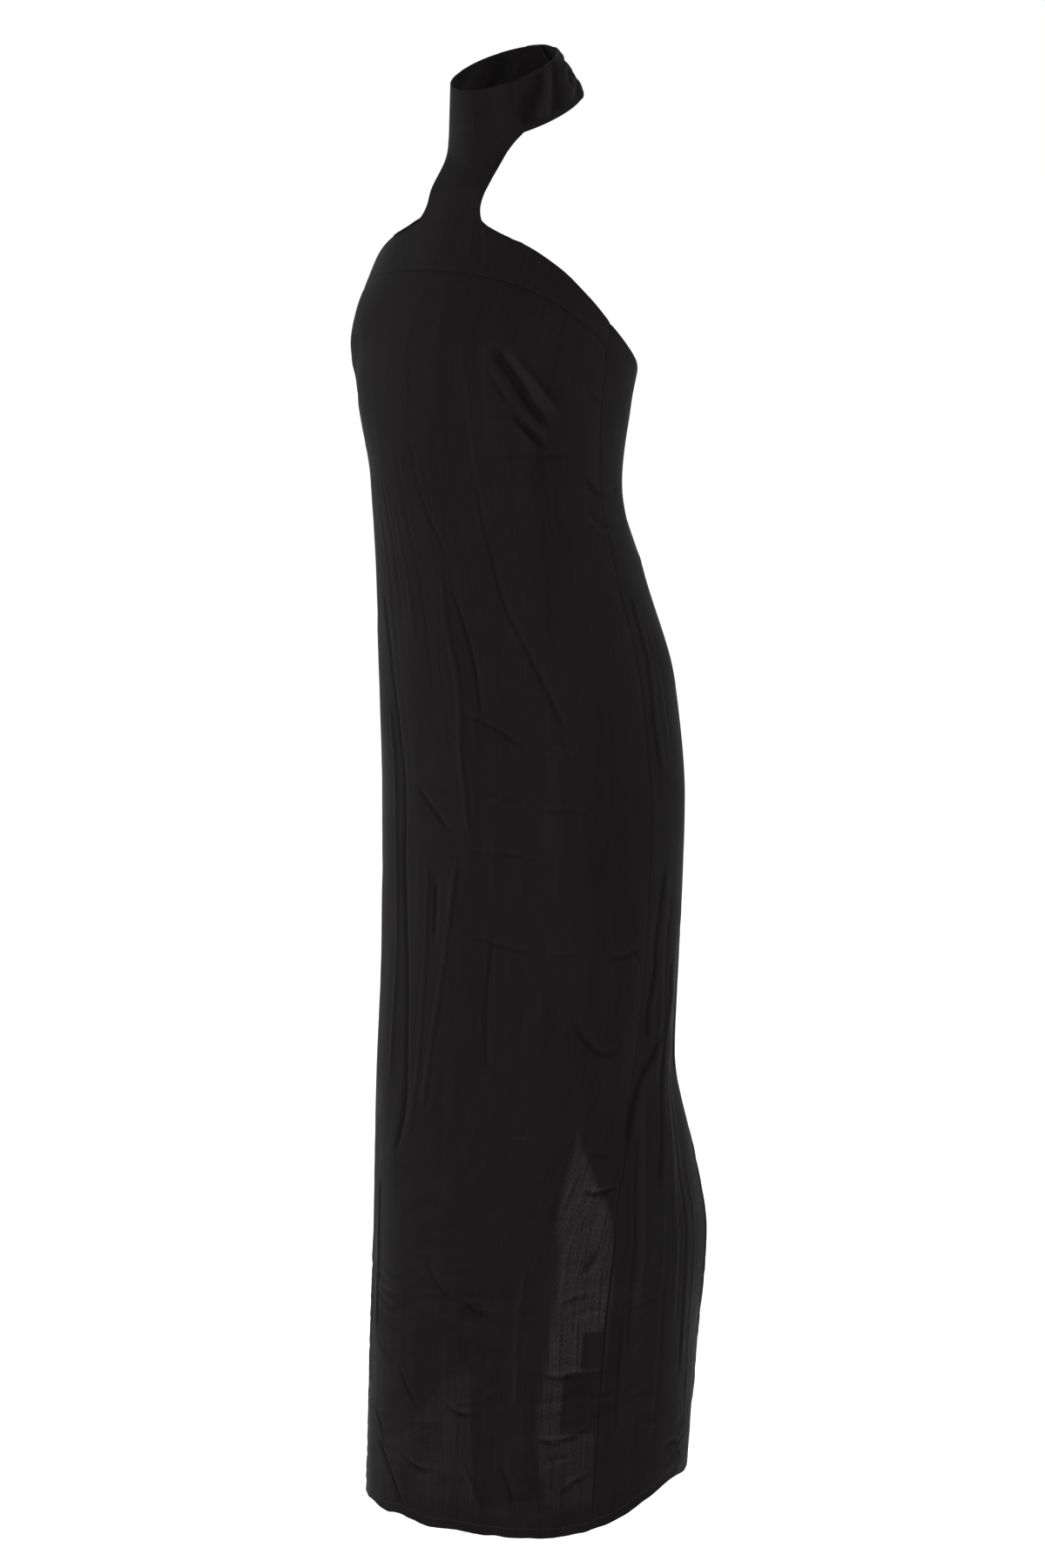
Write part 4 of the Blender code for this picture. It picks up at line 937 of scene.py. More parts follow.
def panel_grid(shares, top, bust, hem, edges, skirt):
    """Angles and drops of a panel between two seams, in columns at shares of its width.

    top gives the first row's drop at each share, bust the shares of the rows down to bust level,
    skirt those of the rows below, and hem the last row's drop at an angle. edges gives the two
    seams' angles at a drop.
    """
    left, right = edges
    top_drops = top(shares)
    angles = []
    drops = []
    for bust_share in bust:
        drop = top_drops + (BUST_LEVEL - top_drops) * bust_share
        angles.append(between_seams(left(drop), right(drop), shares, drop))
        drops.append(drop)
    for share in skirt[1:]:
        level = BUST_LEVEL + (hem(angles[-1]) - BUST_LEVEL) * share
        angle = left(level) + (right(level) - left(level)) * shares
        drop = BUST_LEVEL + (hem(angle) - BUST_LEVEL) * share
        angles.append(between_seams(left(drop), right(drop), shares, drop))
        drops.append(drop)
    return np.stack(angles, axis=1), np.stack(drops, axis=1)


def between_seams(start, end, shares, drop):
    """Angles at shares of the way between two seams, a small gap clear of each."""
    shift = CLOTH_GAP / ring_reach(start + (end - start) * shares, drop)
    start = start + shift
    end = end - shift
    return start + (end - start) * shares


def seam(column, turns=0):
    """A panel seam as a function of drop, moved by whole turns."""
    return lambda drop: seam_angle(SEAMS, column, drop) + turns * 2 * math.pi


def slit(side):
    """An edge of the lining's left side seam as a function of drop: -1 in front, 1 behind."""
    return lambda drop: (
        seam_angle(LINING_SLIT, "middle", drop) + side * seam_angle(LINING_SLIT, "gape", drop) / 2
    )


def front_top(shares):
    """The front panel's top edge, just under the yoke."""
    angle = (shares * 2 - 1) * math.pi / 2
    drop = yoke_seam_drop(angle)
    return drop + CLOTH_GAP * seam_slant(angle, drop)


def zip_clearance(drop):
    """How far the lining's centre-back edges stand off the seam: clear of the tape, then shut."""
    shut = smooth_step((drop - BACK_TOP - ZIP_BELOW_TOP - ZIP_LENGTH - SEAM_GAP) / ZIP_END_RUN)
    return (ZIP_TAPE_HALF_WIDTH + SEAM_GAP) * (1 - shut)


def beside_zip(side):
    """The lining's centre-back edge as a function of drop: -1 on the left back, 1 on the right."""
    return lambda drop: (
        seam_angle(SEAMS, "centre_back", drop) + side * zip_clearance(drop) / ring_reach(math.pi, drop)
    )


def face_normals(points):
    """Unit normals of a grid of points, out from the body."""
    across = np.gradient(points, axis=0)
    down = np.gradient(points, axis=1)
    normal = np.cross(down, across)
    return normal / np.linalg.norm(normal, axis=-1, keepdims=True)


def cloth_lengths(points):
    """Each point's place in its cloth, in metres: across from the middle column, and down."""
    steps_across = np.linalg.norm(np.diff(points, axis=0), axis=-1)
    steps_down = np.linalg.norm(np.diff(points, axis=1), axis=-1)
    across = np.concatenate([np.zeros((1, points.shape[1])), np.cumsum(steps_across, axis=0)])
    down = np.concatenate([np.zeros((points.shape[0], 1)), np.cumsum(steps_down, axis=1)], axis=1)
    return across - across[points.shape[0] // 2], down


def rim_order(columns, rows):
    """The places round a grid's border, in the order that makes its faces point out."""
    border = [(0, j) for j in range(rows - 1)]
    border += [(i, rows - 1) for i in range(columns - 1)]
    border += [(columns - 1, j) for j in range(rows - 1, 0, -1)]
    return border + [(i, 0) for i in range(columns - 1, 0, -1)]


def shell(name, outer, thickness, material, places=None):
    """A thin closed shell of cloth: a fine outer face, a rounded rim and a coarser inner face.

    outer is a grid of points in columns and rows, both odd in number. thickness is one number or
    one for each point. places gives named numbers at each point for the material to read.
    """
    columns, rows = outer.shape[:2]
    normals = face_normals(outer)
    depth = np.broadcast_to(thickness, (columns, rows))[..., None]
    inner = (outer - normals * depth)[::2, ::2]
    border = rim_order(columns, rows)
    i, j = np.array(border).T
    centre = (outer - normals * depth / 2)[i, j]
    beside_i = np.clip(i, 1, columns - 2)
    beside_j = np.clip(j, 1, rows - 2)
    away = outer[i, j] - outer[beside_i, beside_j]
    away -= normals[i, j] * (away * normals[i, j]).sum(axis=-1, keepdims=True)
    away /= np.linalg.norm(away, axis=-1, keepdims=True)
    rim = centre + away * np.minimum(depth[i, j] / 2, CLOTH_GAP * RIM_SHARE)
    points = np.concatenate([outer.reshape(-1, 3), rim, inner.reshape(-1, 3)])

    front = np.arange(columns * rows).reshape(columns, rows)
    back = front.size + len(rim) + np.arange(inner.shape[0] * inner.shape[1]).reshape(inner.shape[:2])
    faces = np.stack([front[:-1, :-1], front[:-1, 1:], front[1:, 1:], front[1:, :-1]], axis=-1)
    faces = faces.reshape(-1, 4).tolist()
    behind = np.stack([back[:-1, :-1], back[1:, :-1], back[1:, 1:], back[:-1, 1:]], axis=-1)
    faces += behind.reshape(-1, 4).tolist()
    count = len(border)
    for k in range(0, count, 2):
        (a, b), (c, d) = border[k], border[(k + 2) % count]
        first, middle, last = (front.size + (k + step) % count for step in range(3))
        fine = (front[border[k]], front[border[k + 1]], front[border[(k + 2) % count]])
        faces.append([fine[1], fine[0], first, middle])
        faces.append([fine[2], fine[1], middle, last])
        start, end = back[a // 2, b // 2], back[c // 2, d // 2]
        faces += [[middle, first, start], [middle, start, end], [last, middle, end]]

    across, down = cloth_lengths(outer)
    spots = np.stack([across, down], axis=-1)
    spots = np.concatenate([spots.reshape(-1, 2), spots[i, j], spots[::2, ::2].reshape(-1, 2)])
    mesh = bpy.data.meshes.new(name)
    mesh.from_pydata(points.tolist(), [], [[int(v) for v in face] for face in faces])
    corners = np.zeros(len(mesh.loops), dtype=np.int32)
    mesh.loops.foreach_get("vertex_index", corners)
    mesh.uv_layers.new(name="cloth").data.foreach_set("uv", spots[corners].astype(np.float32).ravel())
    for label, grid in (places or {}).items():
        grid = np.broadcast_to(grid, (columns, rows))
        values = np.concatenate([grid.ravel(), grid[i, j], grid[::2, ::2].ravel()])
        attribute = mesh.attributes.new(label, "FLOAT", "POINT")
        attribute.data.foreach_set("value", values.astype(np.float32))
    mesh.shade_smooth()
    mesh.set_sharp_from_angle(angle=SHARP_EDGE)
    mesh.materials.append(material)
    mesh.validate()
    return add_object(name, mesh)


def add_object(name, mesh):
    """Links a new object at the origin."""
    made = bpy.data.objects.new(name, mesh)
    bpy.context.scene.collection.objects.link(made)
    return made


def odd(count):
    """The next odd number at or above a count."""
    return count + 1 - count % 2


def make_odd(shares):
    """Drops the middle share where their number is even."""
    return shares if len(shares) % 2 else np.delete(shares, len(shares) // 2)


def edge_thickness(away):
    """The cloth's thickness near a free edge, where it is turned back on itself."""
    return SILK + (EDGE_FOLD - SILK) * (1 - smooth_step((away - EDGE_FOLD_WIDTH) / EDGE_FADE))


def hem_thickness(angles, drops):
    """The silk's thickness in the skirt, doubled in the turned hem."""
    above = outer_hem(angles) - drops
    return SILK + (HEM_THICKNESS - SILK) * (1 - smooth_step((above - HEM_TURN) / HEM_FADE))


def hem_groove(points, angles, drops):
    """The skirt's face with the line where its hem is caught down."""
    above = outer_hem(angles) - drops
    groove = HEM_GROOVE * np.exp(-(((above - HEM_TURN) / HEM_FADE) ** 2))
    return points - face_normals(points) * groove[..., None]


def slit_cover(angle, drop):
    """How far a place is from the lining's slit: below 0 inside it."""
    low = np.clip(drop, LINING_SLIT[0].drop, LINING_SLIT[-1].drop)
    middle = seam_angle(LINING_SLIT, "middle", low)
    half = seam_angle(LINING_SLIT, "gape", low) / 2
    beside_slit = (np.abs(turn_from(angle, middle)) - half) * ring_reach(angle, drop)
    return np.where(drop > SLIT_TOP, beside_slit, SLIT_TOP - drop + SLIT_TOP_EASE)


def painted_backlight_share(angle, drop):
    """How much painted light shines through the silk where it is one layer: most in the slit, less by the
    hem.
    """
    above = outer_hem(angle) - drop
    in_slit = smooth_step(0.5 - slit_cover(angle, drop) / SLIT_SOFTNESS)
    under_hem = smooth_step(0.5 - (lining_hem(angle) - drop) / HEM_SOFTNESS)
    faded = BACKLIGHT_LOW + (1 - BACKLIGHT_LOW) * smooth_step(above / BACKLIGHT_FADE)
    share = np.maximum(in_slit * faded, RAISED_HEM_BACKLIGHT * under_hem)
    return share * smooth_step((above - HEM_TURN) / BACKLIGHT_HEM_FADE)


def label_cover(angle, drop):
    """How far outside both labels a place is: below 0 where a label lies behind the silk."""
    nearest = np.full(angle.shape, 1.0)
    for row in LABELS:
        forward = (seam_angle(SEAMS, "left_side", drop) - turn_from(angle, 0.0)) * ring_reach(angle, drop)
        middle_drop = (row.top_drop + row.low_drop) / 2
        beyond_side = np.abs(forward - row.reach / 2) - row.reach / 2
        beyond_end = np.abs(drop - middle_drop) - (row.low_drop - row.top_drop) / 2
        nearest = np.minimum(nearest, np.maximum(beyond_side, beyond_end))
    return nearest


def silk_places(angle, drop):
    """What the silk's finish reads at each point."""
    reach = ring_reach(angle, drop)
    return {
        # Painted light shining through the one-layer silk, held back where the labels lie behind
        "painted_backlight_share": painted_backlight_share(angle, drop),
        "label_cover": label_cover(angle, drop),
        # Heights of creases and wrinkles, read by the silk for painted shade and highlight
        "relief": crease_height(angle, drop) + ease_height(angle, drop),
        "seam_distance": seam_distance(angle, drop, reach),
    }


def set_inputs(node, inputs):
    """Links a node's inputs to other nodes' outputs, or sets their values."""
    for key, value in dict(inputs).items():
        if isinstance(value, bpy.types.NodeSocket):
            node.id_data.links.new(value, node.inputs[key])
        else:
            node.inputs[key].default_value = value


def node_adder(tree):
    """A function that adds a node to a tree, with its settings and inputs."""

    def add(kind, inputs=(), **settings):
        node = tree.nodes.new(kind)
        for key, value in settings.items():
            setattr(node, key, value)
        set_inputs(node, inputs)
        return node

    return add


def new_material(name):
    """A new material, its main shader, and a function that adds its nodes."""
    material = bpy.data.materials.new(name)
    material.use_nodes = True
    tree = material.node_tree
    return material, tree.nodes["Principled BSDF"], node_adder(tree)


def spread(add, value, low, high, new_low=0.0, new_high=1.0):
    """A value taken from one range to another, and held inside it."""
    inputs = {0: value, 1: low, 2: high, 3: new_low, 4: new_high}
    return add("ShaderNodeMapRange", inputs, interpolation_type="SMOOTHSTEP").outputs[0]


def combined(add, operation, a, b):
    """Two numbers put together by one step of arithmetic."""
    return add("ShaderNodeMath", {0: a, 1: b}, operation=operation).outputs[0]


def times(add, *values):
    """The product of several numbers."""
    product = values[0]
    for value in values[1:]:
        product = combined(add, "MULTIPLY", product, value)
    return product


def weighted(add, *parts):
    """The sum of several numbers, each times its weight."""
    products = [times(add, value, weight) for value, weight in parts]
    total = products.pop()
    while products:
        total = combined(add, "ADD", products.pop(), total)
    return total


def mixed(add, share, first, second):
    """A colour between two others."""
    return add("ShaderNodeMix", {0: share, 6: first, 7: second}, data_type="RGBA").outputs[2]


def noise(add, place, grain):
    """Uneven values over a place, stretched along its axes."""
    moved = add("ShaderNodeMapping", {"Vector": place, "Scale": grain.stretch}).outputs[0]
    inputs = {"Vector": moved, "Scale": grain.scale, "Detail": grain.detail, "Roughness": grain.rough}
    return add("ShaderNodeTexNoise", inputs).outputs["Fac"]


def weave(add, place, pitch):
    """Threads that cross at a pitch: two sets of fine waves, the warp and the weft."""
    inputs = {"Vector": place, "Scale": WAVE_RATE / pitch}
    warp, weft = (add("ShaderNodeTexWave", inputs, bands_direction=axis) for axis in "XY")
    return times(add, warp.outputs["Fac"], weft.outputs["Fac"])


def cloth_place(add):
    """A point's place in its cloth, in metres."""
    return add("ShaderNodeUVMap", uv_map="cloth").outputs[0]


def solid_place(add):
    """A point's place in its piece, in metres."""
    return add("ShaderNodeTexCoord").outputs["Object"]


def attribute(add, name):
    """A number that the piece holds at each point."""
    return add("ShaderNodeAttribute", attribute_name=name).outputs["Fac"]


def set_finish(shader, add, colour, roughness, height, bump, others=()):
    """Gives a shader its colour, roughness and relief, and sets its other inputs."""
    relief = {"Height": height, "Strength": bump.strength, "Distance": bump.distance}
    normal = add("ShaderNodeBump", relief).outputs[0]
    set_inputs(shader, {"Base Color": colour, "Roughness": roughness, "Normal": normal, **dict(others)})


def make_silk(name, paints_backlight=False):
    """Matt black silk crepe: pebbled threads, faint streaks down the cloth, a soft bloom, painted shade and
    highlight on its creases, painted shade along its seams, and, for the skirt, painted light shining
    through where the silk is one layer.
    """
    material, shader, add = new_material(name)
    place = cloth_place(add)
    pebble, streak, slub, cloud = (noise(add, place, grain) for grain in (PEBBLE, STREAK, SLUB, CLOUD))
    shade = weighted(add, (streak, 0.45), (slub, 0.25), (cloud, 0.30))
    colour = mixed(add, spread(add, shade, *EVEN_SHADE, 0.2, 0.8), SILK_DARK, SILK_LIGHT)
    seam_gap = attribute(add, "seam_distance")
    # Painted light: lighter where the silk is one layer and light would shine through it, but not behind
    # labels or seam allowances
    if paints_backlight:
        bare = spread(add, attribute(add, "label_cover"), -LABEL_EDGE, LABEL_EDGE)
        thin = times(add, attribute(add, "painted_backlight_share"), bare, spread(add, seam_gap, *SEAM_ALLOWANCE))
        thread = weighted(add, (noise(add, place, CRACKLE), 0.6), (streak, 0.4))
        backlit_veil = mixed(add, spread(add, thread, 0.33, 0.67), BACKLIT_VEIL_DARK, BACKLIT_VEIL_LIGHT)
        colour = mixed(add, thin, colour, backlit_veil)
    # Painted shade along the seams, where their grooves would be in shadow
    painted_seam_shade = spread(add, seam_gap, *SEAM_LINE, SEAM_SHADE, 1.0)
    # Painted shade in crease troughs and painted highlight on ridges, set by the relief height
    painted_crease_shade = spread(add, attribute(add, "relief"), -CREASE_SHADE_REACH, CREASE_SHADE_REACH, *CREASE_SHADE_AND_HIGHLIGHT)
    light = times(add, painted_seam_shade, painted_crease_shade)
    colour = add("ShaderNodeVectorMath", {0: colour, "Scale": light}, operation="SCALE").outputs[0]
    roughness = spread(add, cloud, *MOST_NOISE, 0.58, 0.70)
    height = weighted(add, (weave(add, place, SILK_PITCH), 0.35), (pebble, 0.65), (streak, 0.28))
    bloom = {
        "Specular IOR Level": SILK_SHINE,
        "Specular Tint": (1.0, 0.94, 0.93, 1),
        "Sheen Weight": 0.011,
        "Sheen Roughness": 0.30,
        "Sheen Tint": (0.80, 0.79, 0.80, 1),
    }
    set_finish(shader, add, colour, roughness, height, SILK_BUMP, bloom)
    return material


def make_lining_silk(name):
    """Smooth black lining silk: fine even threads and a low gloss."""
    material, shader, add = new_material(name)
    place = cloth_place(add)
    streak, cloud = noise(add, place, LINING_STREAK), noise(add, place, LINING_CLOUD)
    shade = weighted(add, (streak, 0.5), (cloud, 0.5))
    colour = mixed(add, spread(add, shade, *EVEN_SHADE), LINING_DARK, LINING_LIGHT)
    roughness = spread(add, cloud, *MOST_NOISE, 0.42, 0.52)
    height = weighted(add, (weave(add, place, LINING_PITCH), 0.6), (streak, 0.4))
    gloss = {"Specular IOR Level": 0.11, "Sheen Weight": 0.02, "Sheen Roughness": 0.30}
    set_finish(shader, add, colour, roughness, height, LINING_BUMP, gloss)
    return material


def make_tape(name, dark, light, slope):
    """Woven tape: small slanted ribs that turn back on themselves, as in a herringbone."""
    material, shader, add = new_material(name)
    place = cloth_place(add)
    parts = add("ShaderNodeSeparateXYZ", {0: place}).outputs
    folded = combined(add, "PINGPONG", parts[0], HERRINGBONE_WIDTH)
    lean = combined(add, "ADD", parts[1], times(add, folded, slope))
    ribbed = add("ShaderNodeCombineXYZ", {0: lean}).outputs[0]
    ribs = add("ShaderNodeTexWave", {"Vector": ribbed, "Scale": WAVE_RATE / RIB_PITCH}).outputs["Fac"]
    grain = noise(add, place, TAPE_GRAIN)
    shade = weighted(add, (ribs, 0.6), (grain, 0.4))
    roughness = spread(add, grain, *MOST_NOISE, 0.56, 0.70)
    colour = mixed(add, shade, dark, light)
    set_finish(shader, add, colour, roughness, shade, TAPE_BUMP, {"Sheen Weight": 0.12})
    return material


def make_grained(name, grain, dark, light, roughness, bump):
    """A plain dark finish with one fine grain: the thread's twist, or the coil's low shine."""
    material, shader, add = new_material(name)
    spots = noise(add, solid_place(add), grain)
    colour = mixed(add, spots, dark, light)
    set_finish(shader, add, colour, spread(add, spots, *MOST_NOISE, *roughness), spots, bump)
    return material


def make_lacquer(name):
    """Black lacquered zinc, rubbed to bare metal in places."""
    material, shader, add = new_material(name)
    place = solid_place(add)
    scratch = noise(add, place, SCRATCH)
    worn = spread(add, noise(add, place, WEAR), 0.60, 0.74)
    wear = times(add, worn, spread(add, scratch, 0.42, 0.62))
    roughness = spread(add, scratch, 0.25, 0.75, 0.26, 0.44)
    metal = spread(add, wear, 0.0, 1.0, 0.55, 1.0)
    coat = {"Metallic": metal, "Coat Weight": 0.30, "Coat Roughness": 0.20}
    set_finish(shader, add, mixed(add, wear, LACQUER, BARE_ZINC), roughness, scratch, LACQUER_BUMP, coat)
    return material


def dress_piece(made, *nodes, body_name="dress", slot="black_silk"):
    """Attaches a finished piece to what it rides on, and hides the CAD parts that it stands for."""
    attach(made, body_name)
    if nodes:
        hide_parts(*nodes)


def skirt_shares(rows):
    """Shares of the way from bust level to the hem, set closer where the cloth is most creased."""
    even = np.linspace(0, 1, rows)
    return even * (1 + ROW_CROWDING * (1 - even))


def edged_shares(count, length):
    """An odd number of shares of a length, closer together at both of its ends."""
    return make_odd(near_edge(np.linspace(0, 1, count), length))


def make_neckband(silk):
    """The stand collar strip, lapped at the nape with the wearer's left end on top."""
    columns, rows = BAND_GRID
    length = (2 * math.pi + BAND_LAP) * BAND_LOW_HALF_WIDTH
    shares = edged_shares(columns, length)
    falls = edged_shares(rows, BAND_HEIGHT)
    turn, fall = np.meshgrid(-math.pi + (2 * math.pi + BAND_LAP) * shares, falls, indexing="ij")
    points = neckband(turn, fall)
    from_edge = np.minimum(fall, 1 - fall) * BAND_HEIGHT
    from_end = np.minimum(shares, 1 - shares)[:, None] * length
    thickness = edge_thickness(np.minimum(from_edge, from_end))
    # The crumples' heights, read by the silk for painted shade and highlight
    relief = BAND_CREASE_SHADE * crumple_height(turn, 1 - fall)
    places = {"seam_distance": from_edge + BAND_SEAM_CLEARANCE, "relief": relief}
    return shell("neckband_cloth", points, thickness, silk, places)


def make_yoke(silk):
    """The strap from the neckband and the shaped yoke that spreads to the side seams."""
    columns, rows = YOKE_GRID
    shares = edged_shares(columns, YOKE_WIDTH) * 2 - 1
    falls = edged_shares(rows, YOKE_FALL)
    across, fall = np.meshgrid(shares, falls, indexing="ij")
    points = yoke(across, fall)
    width = np.linalg.norm(np.diff(points, axis=0), axis=-1).sum(axis=0)
    thickness = edge_thickness((1 - np.abs(across)) / 2 * width)
    return shell("yoke_cloth", points, thickness, silk, {"seam_distance": (1 - fall) * YOKE_FALL})


def make_panel(name, panel, top, edges, silk, turned_top=False):
    """A long silk panel down to the hem; a turned top edge is doubled as the hem is."""
    shares = edged_shares(panel.columns, panel.width)
    bust = bust_shares(panel.top_at_side, BUST_ROWS)
    bust = np.unique(np.concatenate([bust, np.array(NEAREST_EDGE_STEPS) / panel.bust_run]))
    skirt = near_edge(skirt_shares(SKIRT_ROWS), SKIRT_RUN, at_start=False)
    if (len(bust) + len(skirt)) % 2:
        skirt = np.delete(skirt, len(skirt) // 2)
    angles, drops = panel_grid(shares, top, bust, outer_hem, edges, skirt)
    points = hem_groove(body(angles, drops), angles, drops)
    thickness = hem_thickness(angles, drops)
    if turned_top:
        thickness = np.maximum(thickness, edge_thickness(drops - drops[:, :1]))
    return shell(name, points, thickness, silk, silk_places(angles, drops))


def make_front(silk):
    """The long front, from the yoke seam to the hem."""
    edges = (seam("right_side", -1), seam("left_side"))
    return make_panel("front_cloth", FRONT, front_top, edges, silk)


def make_backs(silk):
    """The two long backs, which meet at the centre-back seam."""
    left = (seam("left_side"), seam("centre_back"))
    right = (seam("centre_back"), seam("right_side"))
    return (
        make_panel("back_left_cloth", BACK, back_top_drop, left, silk, turned_top=True),
        make_panel("back_right_cloth", BACK, right_back_top, right, silk, turned_top=True),
    )


def make_lining(silk):
    """The lining: a front and two backs, open below the left hip and round the zip."""
    pieces = (
        ("lining_front", front_top, YOKE_END, seam("right_side", -1), slit(-1)),
        ("lining_back_left", back_top_drop, SIDE_TOP, slit(1), beside_zip(-1)),
        ("lining_back_right", right_back_top, SIDE_TOP, beside_zip(1), seam("right_side")),
    )
    made = []
    for name, top, top_at_side, *edges in pieces:
        shares = np.linspace(0, 1, LINING_COLUMNS[name])
        bust = bust_shares(top_at_side, LINING_BUST_ROWS)
        skirt = np.linspace(0, 1, LINING_SKIRT_ROWS + len(bust) % 2)
        angles, drops = panel_grid(shares, top, bust, lining_hem, edges, skirt)
        fall = (drops - drops[:, :1]) / LINING_EASE_DROP
        inset = WALL + SEAM_GAP + (LINING_EASE - SEAM_GAP) * smooth_step(fall)
        points = surface_line(lining_body, angles, drops, -inset[..., None])
        above = lining_hem(angles) - drops
        turned = 1 - smooth_step((above - HEM_TURN) / LINING_HEM_FADE)
        thickness = LINING_SILK * (1 + LINING_HEM_GAIN * turned)
        made.append(shell(name + "_cloth", points, thickness, silk))
    return made


def make_labels(tape):
    """Two bare care labels, caught by one edge in the left side seam."""
    made = []
    for row in LABELS:
        columns = odd(round(row.reach / LABEL_COLUMN))
        rows = odd(round((row.low_drop - row.top_drop) / LABEL_ROW))
        reaches = np.linspace(row.reach, 0, columns)
        drops = np.linspace(row.top_drop, row.low_drop, rows)
        forward, down = np.meshgrid(reaches, drops, indexing="ij")
        edge = seam_angle(SEAMS, "left_side", down)
        angle = edge - (forward + SEAM_GAP) / ring_reach(edge, down)
        wave = LABEL_FLAT_SHARE + (1 - LABEL_FLAT_SHARE) * np.sin(down * LABEL_CURL_RATE) ** 2
        curl = LABEL_CURL * smooth_step(forward / row.reach) * wave
        points = surface_line(body, angle, down, -(WALL + TRIM_EASE + curl)[..., None])
        ends = np.minimum(down - row.top_drop, row.low_drop - down)
        turned = 1 - smooth_step((ends - LABEL_END_FOLD) / EDGE_FADE)
        thickness = TAPE * (LABEL_THIN + LABEL_END_GAIN * turned)
        made.append(shell(row.name + "_tape", points, thickness, tape))
    return made


def make_zip_tape(tape):
    """The tape of the concealed zip, inside the centre-back seam."""
    columns, rows = ZIP_TAPE_GRID
    first = BACK_TOP + ZIP_BELOW_TOP
    offsets = np.linspace(-ZIP_TAPE_HALF_WIDTH, ZIP_TAPE_HALF_WIDTH, columns)
    offset, down = np.meshgrid(offsets, np.linspace(first, first + ZIP_LENGTH, rows), indexing="ij")
    centre = seam_angle(SEAMS, "centre_back", down)
    face = solid_face(centre + offset / ring_reach(centre, down), down)
    points = face - face_normals(face) * (WALL + TRIM_EASE)
    return shell("zip_tape_woven", points, TAPE, tape)


def refined(node, name, bevel, material):
    """A CAD solid's form with its edges rounded."""
    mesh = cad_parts[node].data.copy()
    bm = bmesh.new()
    bm.from_mesh(mesh)
    bmesh.ops.remove_doubles(bm, verts=bm.verts, dist=MERGE_DISTANCE)
    bmesh.ops.dissolve_limit(bm, angle_limit=FLAT_ANGLE, verts=bm.verts, edges=bm.edges)
    bm.to_mesh(mesh)
    bm.free()
    mesh.materials.clear()
    mesh.materials.append(material)
    mesh.name = name
    made = add_object(name, mesh)
    rounding = made.modifiers.new("round_edges", "BEVEL")
    rounding.width = bevel
    rounding.segments = ROUND_SEGMENTS
    rounding.limit_method = "ANGLE"
    rounding.angle_limit = CORNER_ANGLE
    rounding.harden_normals = True
    return bake_modifiers(made)


def bake_modifiers(made):
    """Turns an object and its modifiers into a plain mesh."""
    shaped = made.evaluated_get(bpy.context.evaluated_depsgraph_get())
    mesh = bpy.data.meshes.new_from_object(shaped)
    made.modifiers.clear()
    made.data = mesh
    mesh.name = made.name
    return made


def make_buttons(silk):
    """Two small domes covered in the dress's silk, gathered to a shank."""
    made = []
    for name, height in BUTTON_HEIGHTS.items():
        turn, fall = np.array(BUTTON_TURN), np.array(1 - height)
        across = neckband(turn + BUTTON_STEP, fall) - neckband(turn - BUTTON_STEP, fall)
        down = neckband(turn, fall + BUTTON_STEP) - neckband(turn, fall - BUTTON_STEP)
        out = Vector(np.cross(down, across)).normalized()
        side = Vector(across).normalized()
        basis = Matrix((side, out.cross(side), out)).transposed()
        seat = Vector(neckband(turn, fall)) + out * BUTTON_SEAT
        verts = []
        for ring, (share, rise) in enumerate(BUTTON_PROFILE):
            for k in range(BUTTON_SIDES):
                spin = 2 * math.pi * k / BUTTON_SIDES
                flat = share * BUTTON_RADIUS
                if ring > BUTTON_SMOOTH_RINGS:
                    flat *= 1 + BUTTON_GATHER * math.sin(BUTTON_GATHERS * spin + ring)
                verts.append(seat + basis @ Vector((flat * math.cos(spin), flat * math.sin(spin), rise)))
        last = len(verts) - BUTTON_SIDES
        top, base = len(verts), len(verts) + 1
        for rise in (BUTTON_PROFILE[0][1] + BUTTON_CROWN, BUTTON_PROFILE[-1][1]):
            verts.append(seat + basis @ Vector((0, 0, rise)))
        faces = []
        for k in range(BUTTON_SIDES):
            n = (k + 1) % BUTTON_SIDES
            faces.append((top, k, n))
            faces.append((base, last + n, last + k))
            for a in range(0, last, BUTTON_SIDES):
                faces.append((a + k, a + BUTTON_SIDES + k, a + BUTTON_SIDES + n, a + n))
        mesh = bpy.data.meshes.new(name + "_cover")
        mesh.from_pydata(verts, [], faces)
        uv = mesh.uv_layers.new(name="cloth")
        for loop in mesh.loops:
            local = basis.transposed() @ (Vector(verts[loop.vertex_index]) - seat)
            uv.data[loop.index].uv = (local.x, local.y)
        mesh.shade_smooth()
        mesh.materials.append(silk)
        made.append(add_object(name + "_cover", mesh))
    return made


